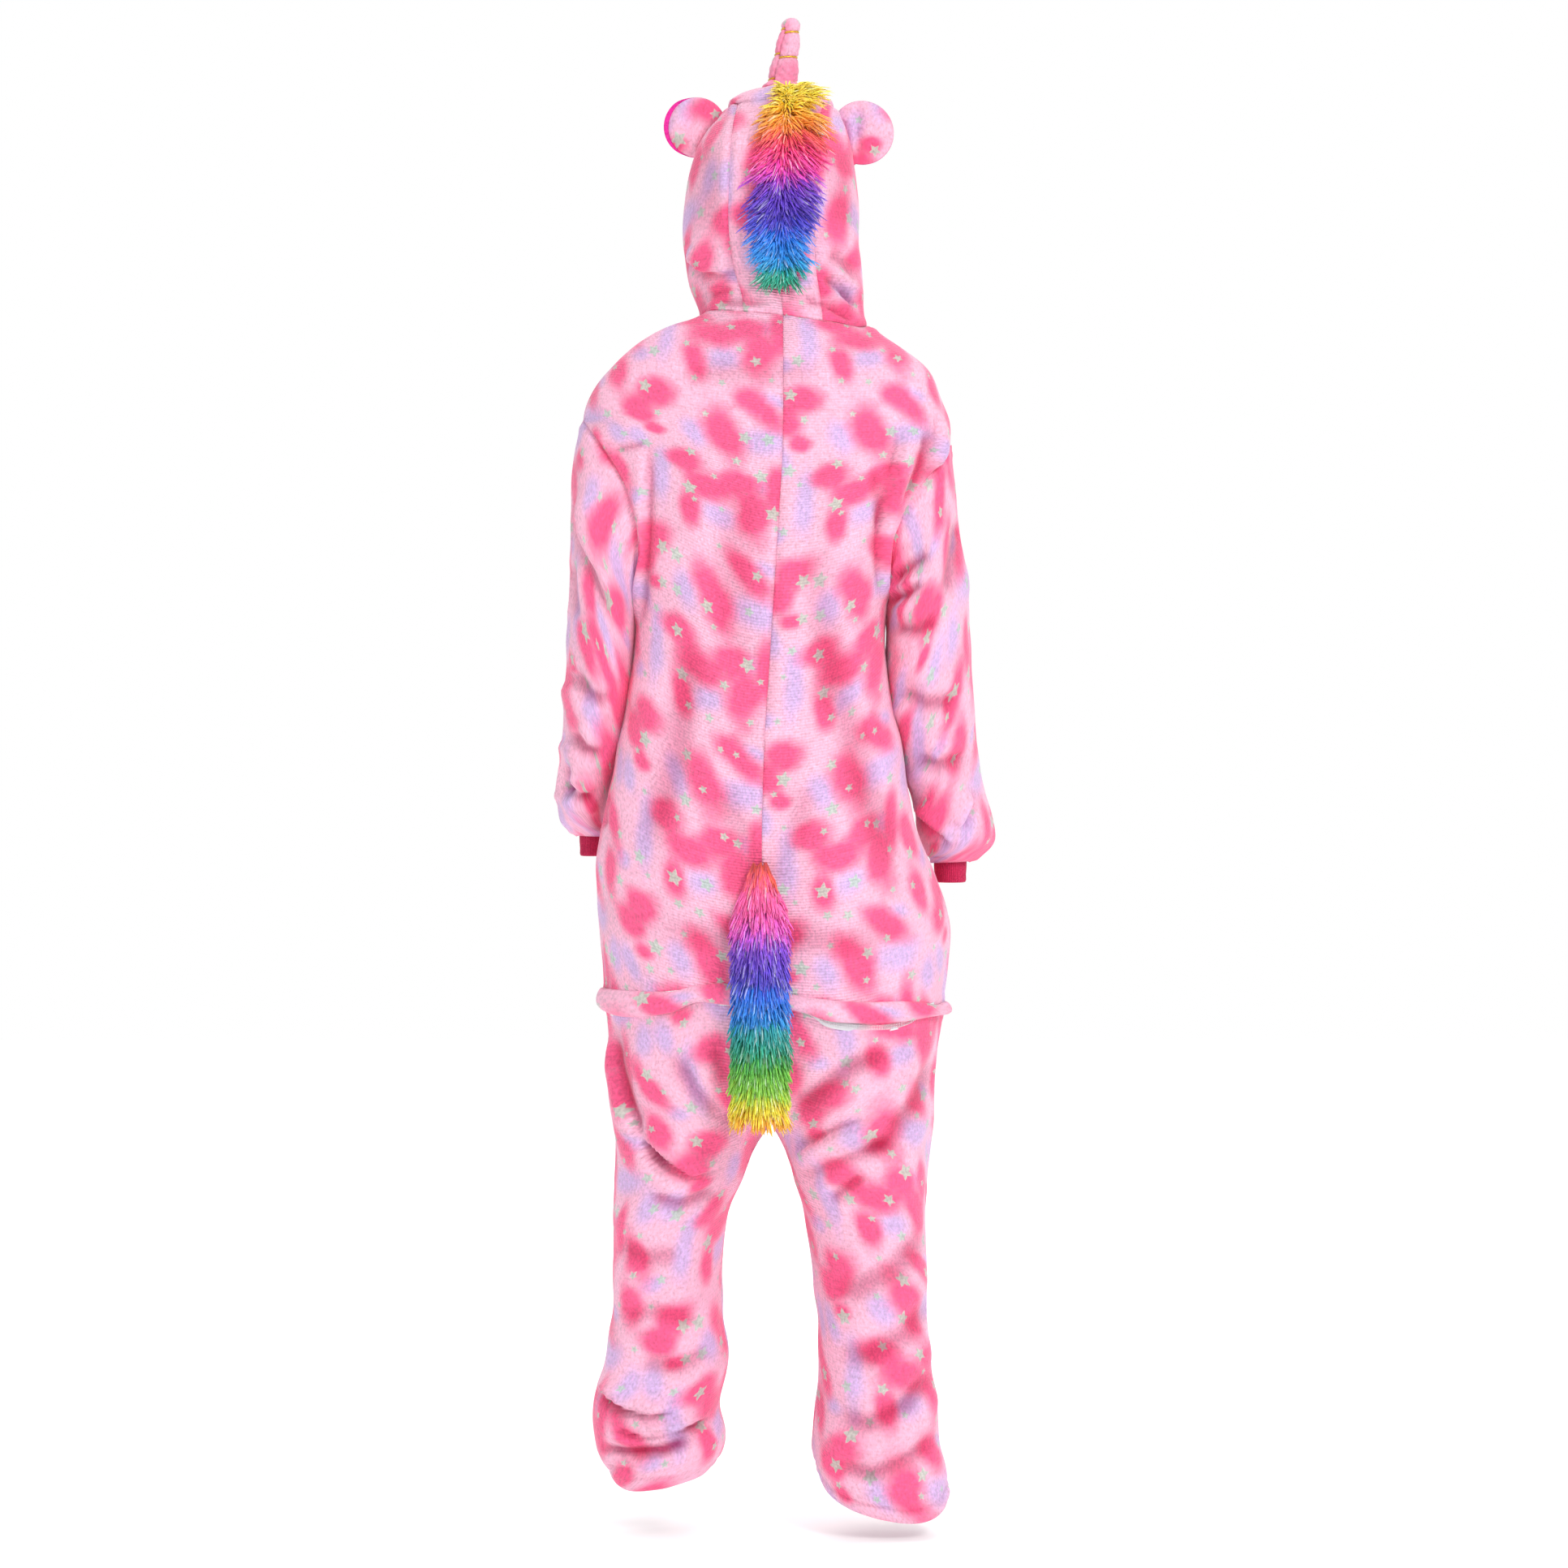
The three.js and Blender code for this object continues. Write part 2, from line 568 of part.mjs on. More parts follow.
// ---------- fur: closed solids of the tinsel's reach ----------
// Rings of a half-round section along a path; each station is { centre, out, across, half, reach }.
function furSolid(stations) {
  const around = 10;
  const rings = stations.map(({ centre, out, across, half, reach }) =>
    Array.from({ length: around }, (_, i) => {
      const a = (2 * Math.PI * i) / around;
      const away = Math.sin(a) > 0 ? reach * Math.sin(a) : 0.12 * reach * Math.sin(a);
      return centre.clone().addScaledVector(across, half * Math.cos(a)).addScaledVector(out, away + 0.12 * reach);
    }),
  );
  const position = rings.flat().flatMap((p) => p.toArray());
  const triangles = [];
  rings.slice(1).forEach((_, r) => {
    for (let i = 0; i < around; i++) {
      const j = (i + 1) % around;
      const [a, b, c, d] = [r * around + i, r * around + j, (r + 1) * around + j, (r + 1) * around + i];
      triangles.push(a, b, c, a, c, d);
    }
  });
  const last = (rings.length - 1) * around;
  for (let i = 1; i + 1 < around; i++) {
    triangles.push(0, i + 1, i, last, last + i, last + i + 1);
  }
  return solid(position, triangles);
}

// The mane: share of the crown's turn, half-width, reach and middle x over the crown, then height, half-width,
// reach and middle x down the hood's back to the nape.
const MANE_CROWN = [
  [0.42, 26, 20, 16],
  [0.28, 34, 26, 22],
  [0.12, 40, 28, 27],
];
const MANE_BACK = through([
  [48, 22, 22, 10],
  [70, 30, 26, 9],
  [110, 36, 28, 4],
  [150, 40, 30, 9],
  [195, 42, 30, 20],
  [232, 41, 29, 28],
]);
const MANE_LIFT = 2.4;
function maneStations() {
  const across = new THREE.Vector3(1, 0, 0);
  const [, , , back, front] = HOOD(STRIP_TOP);
  const over = MANE_CROWN.map(([share, half, reach, x]) => {
    const turn = Math.PI * share;
    const out = new THREE.Vector3(0, -Math.cos(turn) * 0.9, Math.sin(turn)).normalize();
    const y = mix(back, front, (1 - Math.cos(turn)) / 2);
    const centre = new THREE.Vector3(x, y, STRIP_TOP + (CROWN - STRIP_TOP) * Math.sin(turn) + 1);
    return { centre: centre.addScaledVector(out, MANE_LIFT + 1.6), out, across, half, reach };
  });
  const down = [236, 200, 160, 120, 84, 56].map((z) => {
    const [half, reach, x] = MANE_BACK(z);
    const p = hood(LEFT, z, -90);
    const slope = (hood(LEFT, z + 4, -90).y - hood(LEFT, z - 4, -90).y) / 8;
    const out = new THREE.Vector3(0, -1, slope).normalize();
    const centre = new THREE.Vector3(x, p.y, p.z);
    return { centre: centre.addScaledVector(out, MANE_LIFT + 0.6), out, across, half, reach };
  });
  return [...over, ...down];
}
add("mane", furSolid(maneStations()), TINSEL);

// The tail hangs from the middle back seam, over the seat flap.
const TAIL = [
  [-618, 5, 8, 3],
  [-640, 20, 24, 4],
  [-672, 32, 36, 6],
  [-700, 36, 42, 9],
  [-745, 36, 44, 14],
  [-800, 35, 44, 14],
  [-850, 35, 44, 14],
  [-890, 36, 44, 14],
  [-912, 34, 38, 15],
  [-926, 24, 24, 18],
];
const TAIL_X = -18;
const TAIL_BACK = 131;
function tailStations() {
  return TAIL.map(([z, half, reach, clear]) => ({
    centre: new THREE.Vector3(TAIL_X, -TAIL_BACK - clear, z),
    out: new THREE.Vector3(0, -1, 0),
    across: new THREE.Vector3(1, 0, 0),
    half,
    reach,
  }));
}
add("tail", furSolid(tailStations()), TINSEL);

// ---------- bands that lie on the body: each is a closed section, carried round the body's surface ----------
// section: [offset outwards, height] points; path: [side, angle] pairs from left to right.
function bandOnBody(section, path) {
  const ring = ([side, angle]) =>
    section.map(([offset, z]) => {
      const p = body(side, z, angle);
      const round = body(side, z, angle + 1).sub(body(side, z, angle - 1));
      const rise = body(side, z + 2, angle).sub(body(side, z - 2, angle));
      const n = round.cross(rise).multiplyScalar(side).normalize();
      return p.addScaledVector(n, offset);
    });
  const rings = path.map(ring);
  const count = section.length;
  const triangles = [];
  rings.slice(1).forEach((_, r) => {
    for (let i = 0; i < count; i++) {
      const j = (i + 1) % count;
      const [a, b, c, d] = [r * count + i, r * count + j, (r + 1) * count + j, (r + 1) * count + i];
      triangles.push(a, c, b, a, d, c);
    }
  });
  const last = (rings.length - 1) * count;
  for (const [i, j, k] of THREE.ShapeUtils.triangulateShape(section.map(([o, z]) => new THREE.Vector2(o, z)), [])) {
    triangles.push(i, j, k, last + i, last + k, last + j);
  }
  return solid(rings.flatMap((r) => r.flatMap((p) => p.toArray())), triangles);
}
// From the left side round the back to the right side at the panels' own columns, stopping short of the side seams.
const roundBack = (short) => {
  const half = (side) => steps(COLUMNS, (t) => [side, Math.min(-90 * t, -short)]);
  return [...half(LEFT), ...half(RIGHT).reverse().slice(1)];
};

const FLAP_SECTION = [
  [0.5, -767],
  [0.5, -779],
  [3.6, -784],
  [4.2, -797],
  [7.5, -799],
  [10, -792],
  [10, -774],
  [6, -767],
];
add("seat_flap", bandOnBody(FLAP_SECTION, roundBack(5)), FLEECE);
const TAPE_SECTION = [
  [-5.9, -774],
  [-5.9, -814],
  [-4.6, -814],
  [-4.6, -774],
];
add("seat_zip_tape", bandOnBody(TAPE_SECTION, roundBack(4)), ZIP_GREY);
const COIL_SECTION = [
  [-2.9, -797],
  [-0.9, -797],
  [-0.9, -791],
  [-2.9, -791],
];
add("seat_zip_coil", bandOnBody(COIL_SECTION, roundBack(12)), ZIP_GREY);
const SLIDER_SECTION = [
  [-0.3, -798],
  [1.9, -798],
  [1.9, -790],
  [-0.3, -790],
];
add("seat_zip_slider", bandOnBody(SLIDER_SECTION, [[LEFT, -16], [LEFT, -20]]), ZIP_GREY);

// ---------- button placket down the middle front ----------
const PLACKET_TOP = -3;
const PLACKET_BOTTOM = -640;
const placketAngle = (side, z, x) => {
  const [, left, right] = BODY(z);
  return THREE.MathUtils.radToDeg(Math.acos((x / (side < 0 ? left : right)) ** (SQUARENESS / 2)));
};
const placket = new Cloth();
for (const side of [LEFT, RIGHT]) {
  const rows = steps(16, (t) => {
    const z = mix(PLACKET_TOP, PLACKET_BOTTOM, t);
    return steps(2, (u) => body(side, z, mix(90, placketAngle(side, z, PLACKET_HALF), u)));
  });
  placket.patch("placket", rows, side < 0);
}
placket.smoothNormals();
add("placket", placket.wall("placket", CLOTH + 1.2, 1.2), FLEECE);
const BUTTON_PROFILE = [
  [0, 0],
  [BUTTON_R - 1, 0],
  [BUTTON_R, 1],
  [BUTTON_R, 2.4],
  [BUTTON_R - 1.4, 3.4],
  [BUTTON_R - 3.4, 2.6],
  [0, 2.6],
].map(([r, h]) => new THREE.Vector2(r, h));
for (let i = 0; i < BUTTONS; i++) {
  const z = mix(-26, PLACKET_BOTTOM + 50, i / (BUTTONS - 1));
  const p = body(RIGHT, z, 90);
  const rise = body(RIGHT, z + 10, 90).sub(body(RIGHT, z - 10, 90));
  const out = new THREE.Vector3(1, 0, 0).cross(rise).negate().normalize();
  if (out.y < 0) out.negate();
  const button = add(`button_${i + 1}`, new THREE.LatheGeometry(BUTTON_PROFILE, 16), BUTTON_PINK);
  button.quaternion.setFromUnitVectors(new THREE.Vector3(0, 1, 0), out);
  button.position.copy(p.addScaledVector(out, CLOTH + 2.6));
}

export default onesie;
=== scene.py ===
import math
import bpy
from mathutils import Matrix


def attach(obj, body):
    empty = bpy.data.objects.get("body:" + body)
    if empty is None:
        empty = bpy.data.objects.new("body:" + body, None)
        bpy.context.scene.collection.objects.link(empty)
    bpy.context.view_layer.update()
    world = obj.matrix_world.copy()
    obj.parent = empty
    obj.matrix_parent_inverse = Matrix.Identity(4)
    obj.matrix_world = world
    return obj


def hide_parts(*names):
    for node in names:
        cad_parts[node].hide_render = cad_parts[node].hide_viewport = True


bl_info = {
    "name": "Unicorn Onesie",
    "version": (1, 0, 0),
    "blender": (4, 5, 0),
    "location": "3D View > Sidebar > Onesie",
    "description": "Makes a worn hooded fleece onesie with a stuffed horn and a tinsel mane and tail",
    "category": "Add Mesh",
}

import bpy
import numpy as np
from bpy.props import FloatProperty, FloatVectorProperty, IntProperty, PointerProperty
from mathutils import Vector

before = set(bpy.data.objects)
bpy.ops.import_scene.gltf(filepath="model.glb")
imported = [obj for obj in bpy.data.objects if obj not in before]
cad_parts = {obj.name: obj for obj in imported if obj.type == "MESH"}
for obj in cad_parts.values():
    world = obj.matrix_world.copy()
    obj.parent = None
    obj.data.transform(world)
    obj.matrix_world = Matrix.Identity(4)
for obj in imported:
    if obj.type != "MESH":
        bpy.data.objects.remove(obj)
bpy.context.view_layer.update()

# Lengths are in millimetres and angles in degrees until make_mesh and the materials turn them into metres.
# x runs to the wearer's right, y the way the wearer faces, and z up from the neckline.

# ---------- driving sizes, the same as the solids' ----------
LEFT, RIGHT = -1, 1
SIDES = ((LEFT, "left"), (RIGHT, "right"))
SQUARENESS, HOOD_SQUARENESS = 2.3, 2.15  # of the sections: 2 is an ellipse
ZIP_TOP, ZIP_BOTTOM, CROTCH = -786, -802, -926
NECK_DIP = 46  # how much lower the neck opening is in front
CROWN, BROW, STRIP_TOP, STRIP_HALF = 275, 222, 250, 49
HOOD_LIFT = 0.4  # between the neckline and the hood
PLACKET_HALF = 17
MM = 0.001


# ---------- arithmetic ----------
def mix(a, b, t):
    return a + (b - a) * t


def smooth(t):
    t = np.clip(t, 0, 1)
    return t * t * (3 - 2 * t)


def power(v, e):
    return np.sign(v) * np.abs(v) ** e


def bell(d, width):
    return np.exp(-((d / width) ** 2))


def through(stations):
    """A smooth curve through rows of (key, a, b, ...), in rising order of key."""
    table = np.array(stations, float)
    keys, values = table[:, 0], table[:, 1:]
    last = len(keys) - 1
    slope = np.array(
        [
            (values[min(last, i + 1)] - values[max(0, i - 1)])
            / (keys[min(last, i + 1)] - keys[max(0, i - 1)])
            for i in range(last + 1)
        ]
    )

    def at(key):
        key = np.clip(np.asarray(key, float), keys[0], keys[-1])
        i = np.clip(np.searchsorted(keys, key), 1, last)
        h = (keys[i] - keys[i - 1])[..., None]
        t = (key - keys[i - 1])[..., None] / h
        curve = (
            (2 * t**3 - 3 * t**2 + 1) * values[i - 1]
            + (t**3 - 2 * t**2 + t) * slope[i - 1] * h
            + (3 * t**2 - 2 * t**3) * values[i]
            + (t**3 - t**2) * slope[i] * h
        )
        return np.moveaxis(curve, -1, 0)

    return at


# ---------- the body: height, middle x, left and right half-widths, back and front depths ----------
BODY = through(
    [
        (-930, -5, 181, 189, 118, 112),
        (-860, -4, 184, 190, 124, 118),
        (-780, -5, 191, 200, 130, 122),
        (-700, -8, 196, 208, 132, 124),
        (-640, -14, 193, 198, 130, 126),
        (-590, -15, 187, 178, 126, 126),
        (-540, -14, 177, 166, 120, 124),
        (-480, -12, 167, 154, 114, 122),
        (-420, -8, 160, 137, 111, 121),
        (-340, -3, 156, 130, 113, 122),
        (-260, 2, 178, 146, 116, 121),
        (-200, 6, 202, 172, 116, 117),
        (-160, 8, 219, 192, 113, 111),
        (-113, 9, 231, 193, 106, 102),
        (-80, 9, 222, 181, 100, 96),
        (-50, 9, 200, 167, 94, 91),
        (-24, 9, 160, 137, 85, 86),
        (-6, 9, 108, 108, 76, 80),
        (0, 9, 98, 98, 73, 78),
    ]
)


def dip(y, z):
    """How far the neckline falls towards the front, and ever less down the chest."""
    return -NECK_DIP * smooth((y + 20) / 100) * smooth(1 + z / 230)


def body(side, z, angle):
    """A point of the body at a height and at an angle from -90, middle back, over 0 to 90, middle front."""
    z, angle = np.broadcast_arrays(np.asarray(z, float), np.asarray(angle, float))
    middle, left, right, back, front = BODY(z)
    a = np.radians(angle)
    half = left if side < 0 else right
    x = middle + side * half * power(np.cos(a), 2 / SQUARENESS)
    y = np.where(angle < 0, back, front) * power(np.sin(a), 2 / SQUARENESS)
    return np.stack([x, y, z + dip(y, z)], -1)


# ---------- armholes: a closed curve from its top over the back to the underarm ----------
ARMHOLE = {LEFT: (-110, -318, 68, 70), RIGHT: (-138, -318, 64, 70)}  # top, bottom, back and front reach


def armhole_angle(side, turn):
    """Height on the armhole, and the angle there on the body's section."""
    top, bottom, back_reach, front_reach = ARMHOLE[side]
    z = mix(bottom, top, (1 + np.cos(turn)) / 2)
    _, _, _, back, front = BODY(z)
    s = np.sin(turn)
    reach = s * np.where(s > 0, back_reach, front_reach)
    depth = np.where(reach > 0, back, front)
    return z, -np.degrees(np.arcsin(np.clip(power(reach / depth, SQUARENESS / 2), -1, 1)))


def armhole(side, turn):
    z, angle = armhole_angle(side, turn)
    return body(side, z, angle)


# ---------- legs: height, inner x, outer x, middle y, back and front depths ----------
LEG = {
    LEFT: through(
        [
            (-1342, -78, -184, 12, 52, 58),
            (-1328, -64, -194, 12, 62, 66),
            (-1300, -58, -207, 12, 71, 72),
            (-1260, -66, -211, 12, 70, 72),
            (-1203, -56, -197, 14, 72, 74),
            (-1147, -62, -189, 16, 75, 76),
            (-1090, -63, -188, 16, 78, 78),
            (-1034, -57, -188, 14, 84, 84),
            (-985, -38, -187, 10, 93, 92),
            (-950, -21, -186, 5, 104, 101),
            (CROTCH, -5, -186, 0, 106, 101),
        ]
    ),
    RIGHT: through(
        [
            (-1352, 52, 198, -14, 62, 60),
            (-1325, 43, 196, -14, 68, 68),
            (-1297, 44, 188, -12, 70, 71),
            (-1260, 48, 186, -10, 72, 73),
            (-1200, 52, 178, -4, 74, 75),
            (-1147, 50, 175, 2, 76, 77),
            (-1090, 45, 174, 6, 79, 79),
            (-1034, 38, 174, 6, 85, 84),
            (-985, 23, 177, 4, 94, 92),
            (-950, 8, 181, 2, 104, 101),
            (CROTCH, -5, 184, 0, 106, 101),
        ]
    ),
}
HEM = {LEFT: -1342, RIGHT: -1352}
HEM_SAG = {LEFT: (-8, 2), RIGHT: (-34, 4)}  # at the back and at the front
HEM_RISE = {LEFT: 15, RIGHT: 24}  # at the inside
HEM_REACH = 130  # how far above the hem its sag and rise are felt


def leg(side, z, angle, behind):
    """A point of a leg at an angle from 0, outside, over -90 or 90 to 180, inside."""
    inner, outer, middle, back, front = LEG[side](z)
    a = np.radians(angle)
    x = (inner + outer) / 2 + (outer - inner) / 2 * power(np.cos(a), 2 / SQUARENESS)
    y = middle + (back if behind else front) * power(np.sin(a), 2 / SQUARENESS)
    sag = HEM_SAG[side][0 if behind else 1] * np.abs(np.sin(a))
    fall = (sag + HEM_RISE[side] * smooth((1 - np.cos(a)) / 2)) * smooth(1 - (z - HEM[side]) / HEM_REACH)
    return np.stack([x, y, z + fall], -1)


def seat(side, z, behind, t):
    """Between the zip and the crotch the body's section turns into the leg's."""
    way = -1 if behind else 1
    blend = np.clip((z - CROTCH) / (ZIP_TOP - CROTCH), 0, 1)
    turned = np.sqrt(1 - (1 - blend) ** 2)[..., None]
    middle, left, right, back, front = BODY(z)
    on_body = body(side, z, way * 90 * (1 - t))
    half = (left if side < 0 else right) / 2
    a = np.pi * (1 - t)
    on_leg = np.stack(
        [
            middle + side * half * (1 + power(np.cos(a), 2 / SQUARENESS)),
            way * (back if behind else front) * 0.9 * power(np.sin(a), 2 / SQUARENESS),
            z,
        ],
        -1,
    )
    p = mix(on_leg, on_body, turned)
    p[..., 1] *= 1 + 0.5 * turned[..., 0] * (1 - turned[..., 0])
    return p


# ---------- sleeves: station, outer x and z, inner x and z, half-depth, middle y ----------
SLEEVE = {
    LEFT: through(
        [
            (0, -228, -110, -160, -318, 69, 1),
            (1, -232, -150, -163, -332, 72, 3),
            (2, -235, -205, -166, -354, 73, 5),
            (3, -237, -268, -170, -386, 72, 6),
            (4, -240, -335, -175, -424, 70, 10),
            (5, -243, -404, -182, -466, 68, 17),
            (6, -247, -462, -190, -506, 65, 30),
            (7, -251, -508, -197, -538, 61, 46),
            (8, -254, -545, -203, -562, 56, 60),
            (9, -252, -573, -203, -580, 47, 71),
            (10, -241, -586, -198, -588, 37, 77),
            (11, -235, -593, -199, -594, 34, 79),
        ]
    ),
    RIGHT: through(
        [
            (0, 204, -140, 128, -322, 66, 1),
            (1, 208, -176, 131, -340, 69, 3),
            (2, 213, -230, 133, -366, 71, 5),
            (3, 219, -288, 135, -400, 71, 6),
            (4, 225, -344, 140, -438, 70, 10),
            (5, 229, -404, 149, -478, 68, 18),
            (6, 234, -464, 159, -520, 66, 30),
            (7, 240, -520, 166, -558, 63, 44),
            (8, 253, -566, 170, -590, 60, 56),
            (9, 258, -596, 178, -612, 54, 65),
            (10, 245, -614, 183, -618, 42, 71),
            (11, 229, -623, 184, -625, 35, 74),
        ]
    ),
}
SLEEVE_STATIONS = 11
# Worn, the sleeve presses on the body: how far, at which station, and over how many of them.
PRESS, PRESS_STATION, PRESS_SPREAD = 7.5, 4.6, 2.6


def sleeve(side, station, turn):
    outer_x, outer_z, inner_x, inner_z, depth, middle = SLEEVE[side](station)
    inner_x = inner_x - side * PRESS * bell(station - PRESS_STATION, PRESS_SPREAD)
    t = (1 + np.cos(turn)) / 2
    free = np.stack(
        [mix(inner_x, outer_x, t), middle - depth * np.sin(turn), mix(inner_z, outer_z, t)], -1
    )
    return mix(free, armhole(side, turn), (1 - smooth(station / 1.6))[..., None])


# ---------- hood: height, middle x, half-widths left and right, back y, front y ----------
HOOD = through(
    [
        (0, 9, 97, 97, -72.5, 77.5),
        (28, 6, 95, 97, -66, 82),
        (56, 0, 102, 101, -68, 87),
        (94, -4, 103, 102, -84, 92),
        (141, -4, 101, 101, -98, 96),
        (188, -2, 95, 94, -101, 97),
        (221, 1, 83, 84, -91, 90),
        (244, 5, 67, 69, -75, 77),
        (STRIP_TOP, 6, 61, 62, -69, 72),
    ]
)
FACE = through([(0, 3), (20, 26), (50, 52), (100, 68), (150, 71), (190, 64), (BROW, STRIP_HALF)])


def strip_half(z):
    """Half the width of the hood's middle strip, which narrows to the neck."""
    return STRIP_HALF - 4 * smooth(1 - z / 120)


def hood(side, z, angle):
    z, angle = np.broadcast_arrays(np.asarray(z, float), np.asarray(angle, float))
    middle, left, right, back, front = HOOD(z)
    a = np.radians(angle)
    half = left if side < 0 else right
    x = middle + side * half * power(np.cos(a), 2 / HOOD_SQUARENESS)
    y = (back + front) / 2 + (front - back) / 2 * power(np.sin(a), 2 / HOOD_SQUARENESS)
    return np.stack([x, y, z + HOOD_LIFT + dip(y, 0 * z) * smooth(1 - z / 90)], -1)


def hood_angle(side, z, x):
    """The angle on the hood's section at which it is as far out as x."""
    _, left, right, _, _ = HOOD(z)
    share = np.minimum(1, x / (left if side < 0 else right))
    return np.degrees(np.arccos(share ** (HOOD_SQUARENESS / 2)))


# ---------- folds: ((x, z) points), width, depth, and which side overlaps (0 is an open trough) ----------
BACK_FOLDS = [
    (((149, -120), (140, -158), (135, -176), (128, -210), (121, -250), (122, -290), (124, -330)), 7, 6.5, 1),
    (((176, -120), (171, -148), (164, -172), (157, -192), (144, -222)), 9, 5, 0),
    (((187, -105), (185, -144), (181, -165), (177, -183), (171, -205)), 5, 4.5, 1),
    (((112, -170), (117, -212), (120, -250)), 8, 2.5, 0),
    (((-149, -135), (-147, -187), (-149, -247), (-152, -300), (-158, -365)), 7, 6, -1),
    (((-184, -150), (-165, -148), (-146, -144)), 5, 3, 0),
    (((-120, -70), (-60, -62), (0, -66), (60, -60)), 16, 1.6, 0),
    (((-95, -330), (-100, -420), (-120, -520), (-150, -620)), 22, 3, 0),
    (((70, -330), (76, -430), (104, -540), (140, -640)), 22, 3, 0),
    (((-40, -180), (-46, -300), (-44, -420)), 26, 2, 0),
    (((48, -250), (50, -360), (46, -480)), 24, 2, 0),
    (((-192, -540), (-198, -562), (-199, -585)), 5, 3.5, 0),
    (((-150, -690), (-80, -706), (0, -700), (80, -712), (150, -700)), 20, 2.4, 0),
    (((-70, -520), (-30, -600), (-20, -660)), 20, 2.4, 0),
    (((50, -520), (14, -600), (0, -660)), 20, 2.4, 0),
]
SEAT_FOLDS = [
    (((-193, -800), (-186, -845), (-175, -890), (-158, -930), (-140, -960), (-112, -990)), 10, 8, -1),
    (((-170, -925), (-130, -955), (-95, -978), (-58, -966)), 9, 6, 1),
    (((-150, -1000), (-110, -1012), (-62, -996)), 9, 4, 0),
    (((-120, -830), (-90, -880), (-50, -915), (-16, -925)), 13, 4, 0),
    (((-75, -818), (-60, -865), (-30, -905)), 11, 3, 0),
    (((20, -955), (48, -940), (75, -925), (112, -914)), 8, 6, -1),
    (((14, -915), (40, -890), (90, -850), (140, -832)), 14, 4, 0),
    (((58, -1012), (80, -992), (104, -974)), 8, 4, 0),
    (((185, -840), (165, -890), (130, -930), (90, -955)), 14, 4, 0),
    (((26, -985), (60, -965), (100, -950), (150, -940)), 9, 3.5, 0),
    (((-185, -1060), (-150, -1075), (-105, -1070)), 14, 3, 0),
    (((-180, -1150), (-140, -1135), (-80, -1150)), 13, 2.6, 0),
    (((-72, -1180), (-110, -1200), (-160, -1195)), 12, 3, 0),
    (((-207, -1228), (-178, -1246), (-145, -1254), (-110, -1248)), 7, 10, 1),
    (((-186, -1268), (-150, -1278), (-112, -1272), (-70, -1256)), 7, 9, 1),
    (((-205, -1296), (-172, -1300), (-130, -1296), (-90, -1282)), 8, 6.5, 0),
    (((-196, -1322), (-182, -1316), (-160, -1318)), 6, 4, 0),
    (((176, -1040), (140, -1085), (90, -1110), (54, -1108)), 18, 3.5, 0),
    (((180, -1120), (150, -1160), (104, -1185), (62, -1180)), 18, 3.5, 0),
    (((184, -1200), (150, -1240), (105, -1262), (60, -1250)), 14, 4, 0),
    (((188, -1275), (158, -1300), (112, -1318), (58, -1308)), 12, 4, 0),
]
FRONT_FOLDS = [
    (((-150, -130), (-138, -190), (-134, -260), (-140, -330)), 8, 5, 0),
    (((140, -140), (126, -200), (118, -270), (122, -330)), 8, 5, 0),
    (((-110, -170), (-70, -230), (-40, -330)), 22, 2.6, 0),
    (((100, -170), (66, -230), (40, -330)), 22, 2.6, 0),
    (((-120, -420), (-60, -450), (-30, -500)), 18, 3, 0),
    (((110, -420), (56, -455), (26, -500)), 18, 3, 0),
    (((-150, -600), (-90, -650), (-30, -690)), 20, 3, 0),
    (((150, -610), (90, -660), (26, -690)), 20, 3, 0),
    (((-150, -820), (-100, -870), (-40, -905)), 14, 4, 0),
    (((150, -820), (100, -875), (30, -905)), 14, 4, 0),
    (((-160, -940), (-100, -965), (-50, -955)), 9, 5, 0),
    (((160, -940), (100, -960), (36, -950)), 9, 5, 0),
    (((-180, -1100), (-130, -1115), (-80, -1105)), 14, 3.5, 0),
    (((170, -1095), (120, -1115), (60, -1105)), 14, 3.5, 0),
    (((-200, -1232), (-150, -1250), (-80, -1240)), 9, 7, 1),
    (((-195, -1278), (-140, -1290), (-72, -1275)), 9, 6, 1),
    (((184, -1230), (120, -1255), (60, -1240)), 12, 4, 0),
    (((186, -1290), (120, -1310), (58, -1296)), 10, 4, 0),
]
SLEEVE_FOLDS = [
    (((-230, -190), (-226, -241), (-217, -266), (-206, -286), (-192, -320), (-180, -348)), 8, 5, 1),
    (((-235, -273), (-233, -318), (-229, -345)), 6, 3, 0),
    (((-243, -505), (-244, -536), (-247, -556)), 6, 3.5, 0),
    (((-238, -400), (-215, -430), (-184, -440)), 10, 4, 0),
    (((-240, -470), (-222, -492), (-196, -500)), 8, 4.5, 0),
    (((-248, -530), (-228, -548), (-206, -548)), 7, 4.5, 0),
    (((132, -302), (153, -284), (179, -266)), 7, 4.5, 0),
    (((128, -322), (146, -316), (169, -300)), 6, 4, 0),
    (((133, -352), (160, -356), (190, -342)), 9, 4, 0),
    (((140, -420), (170, -440), (214, -436)), 11, 4, 0),
    (((156, -500), (186, -512), (226, -500)), 10, 4, 0),
    (((160, -556), (172, -569), (184, -581), (196, -590), (206, -604)), 5, 6, 1),
    (((226, -536), (227, -556), (219, -575), (212, -586)), 6, 5, -1),
    (((212, -220), (206, -270), (196, -320)), 9, 4, 0),
]
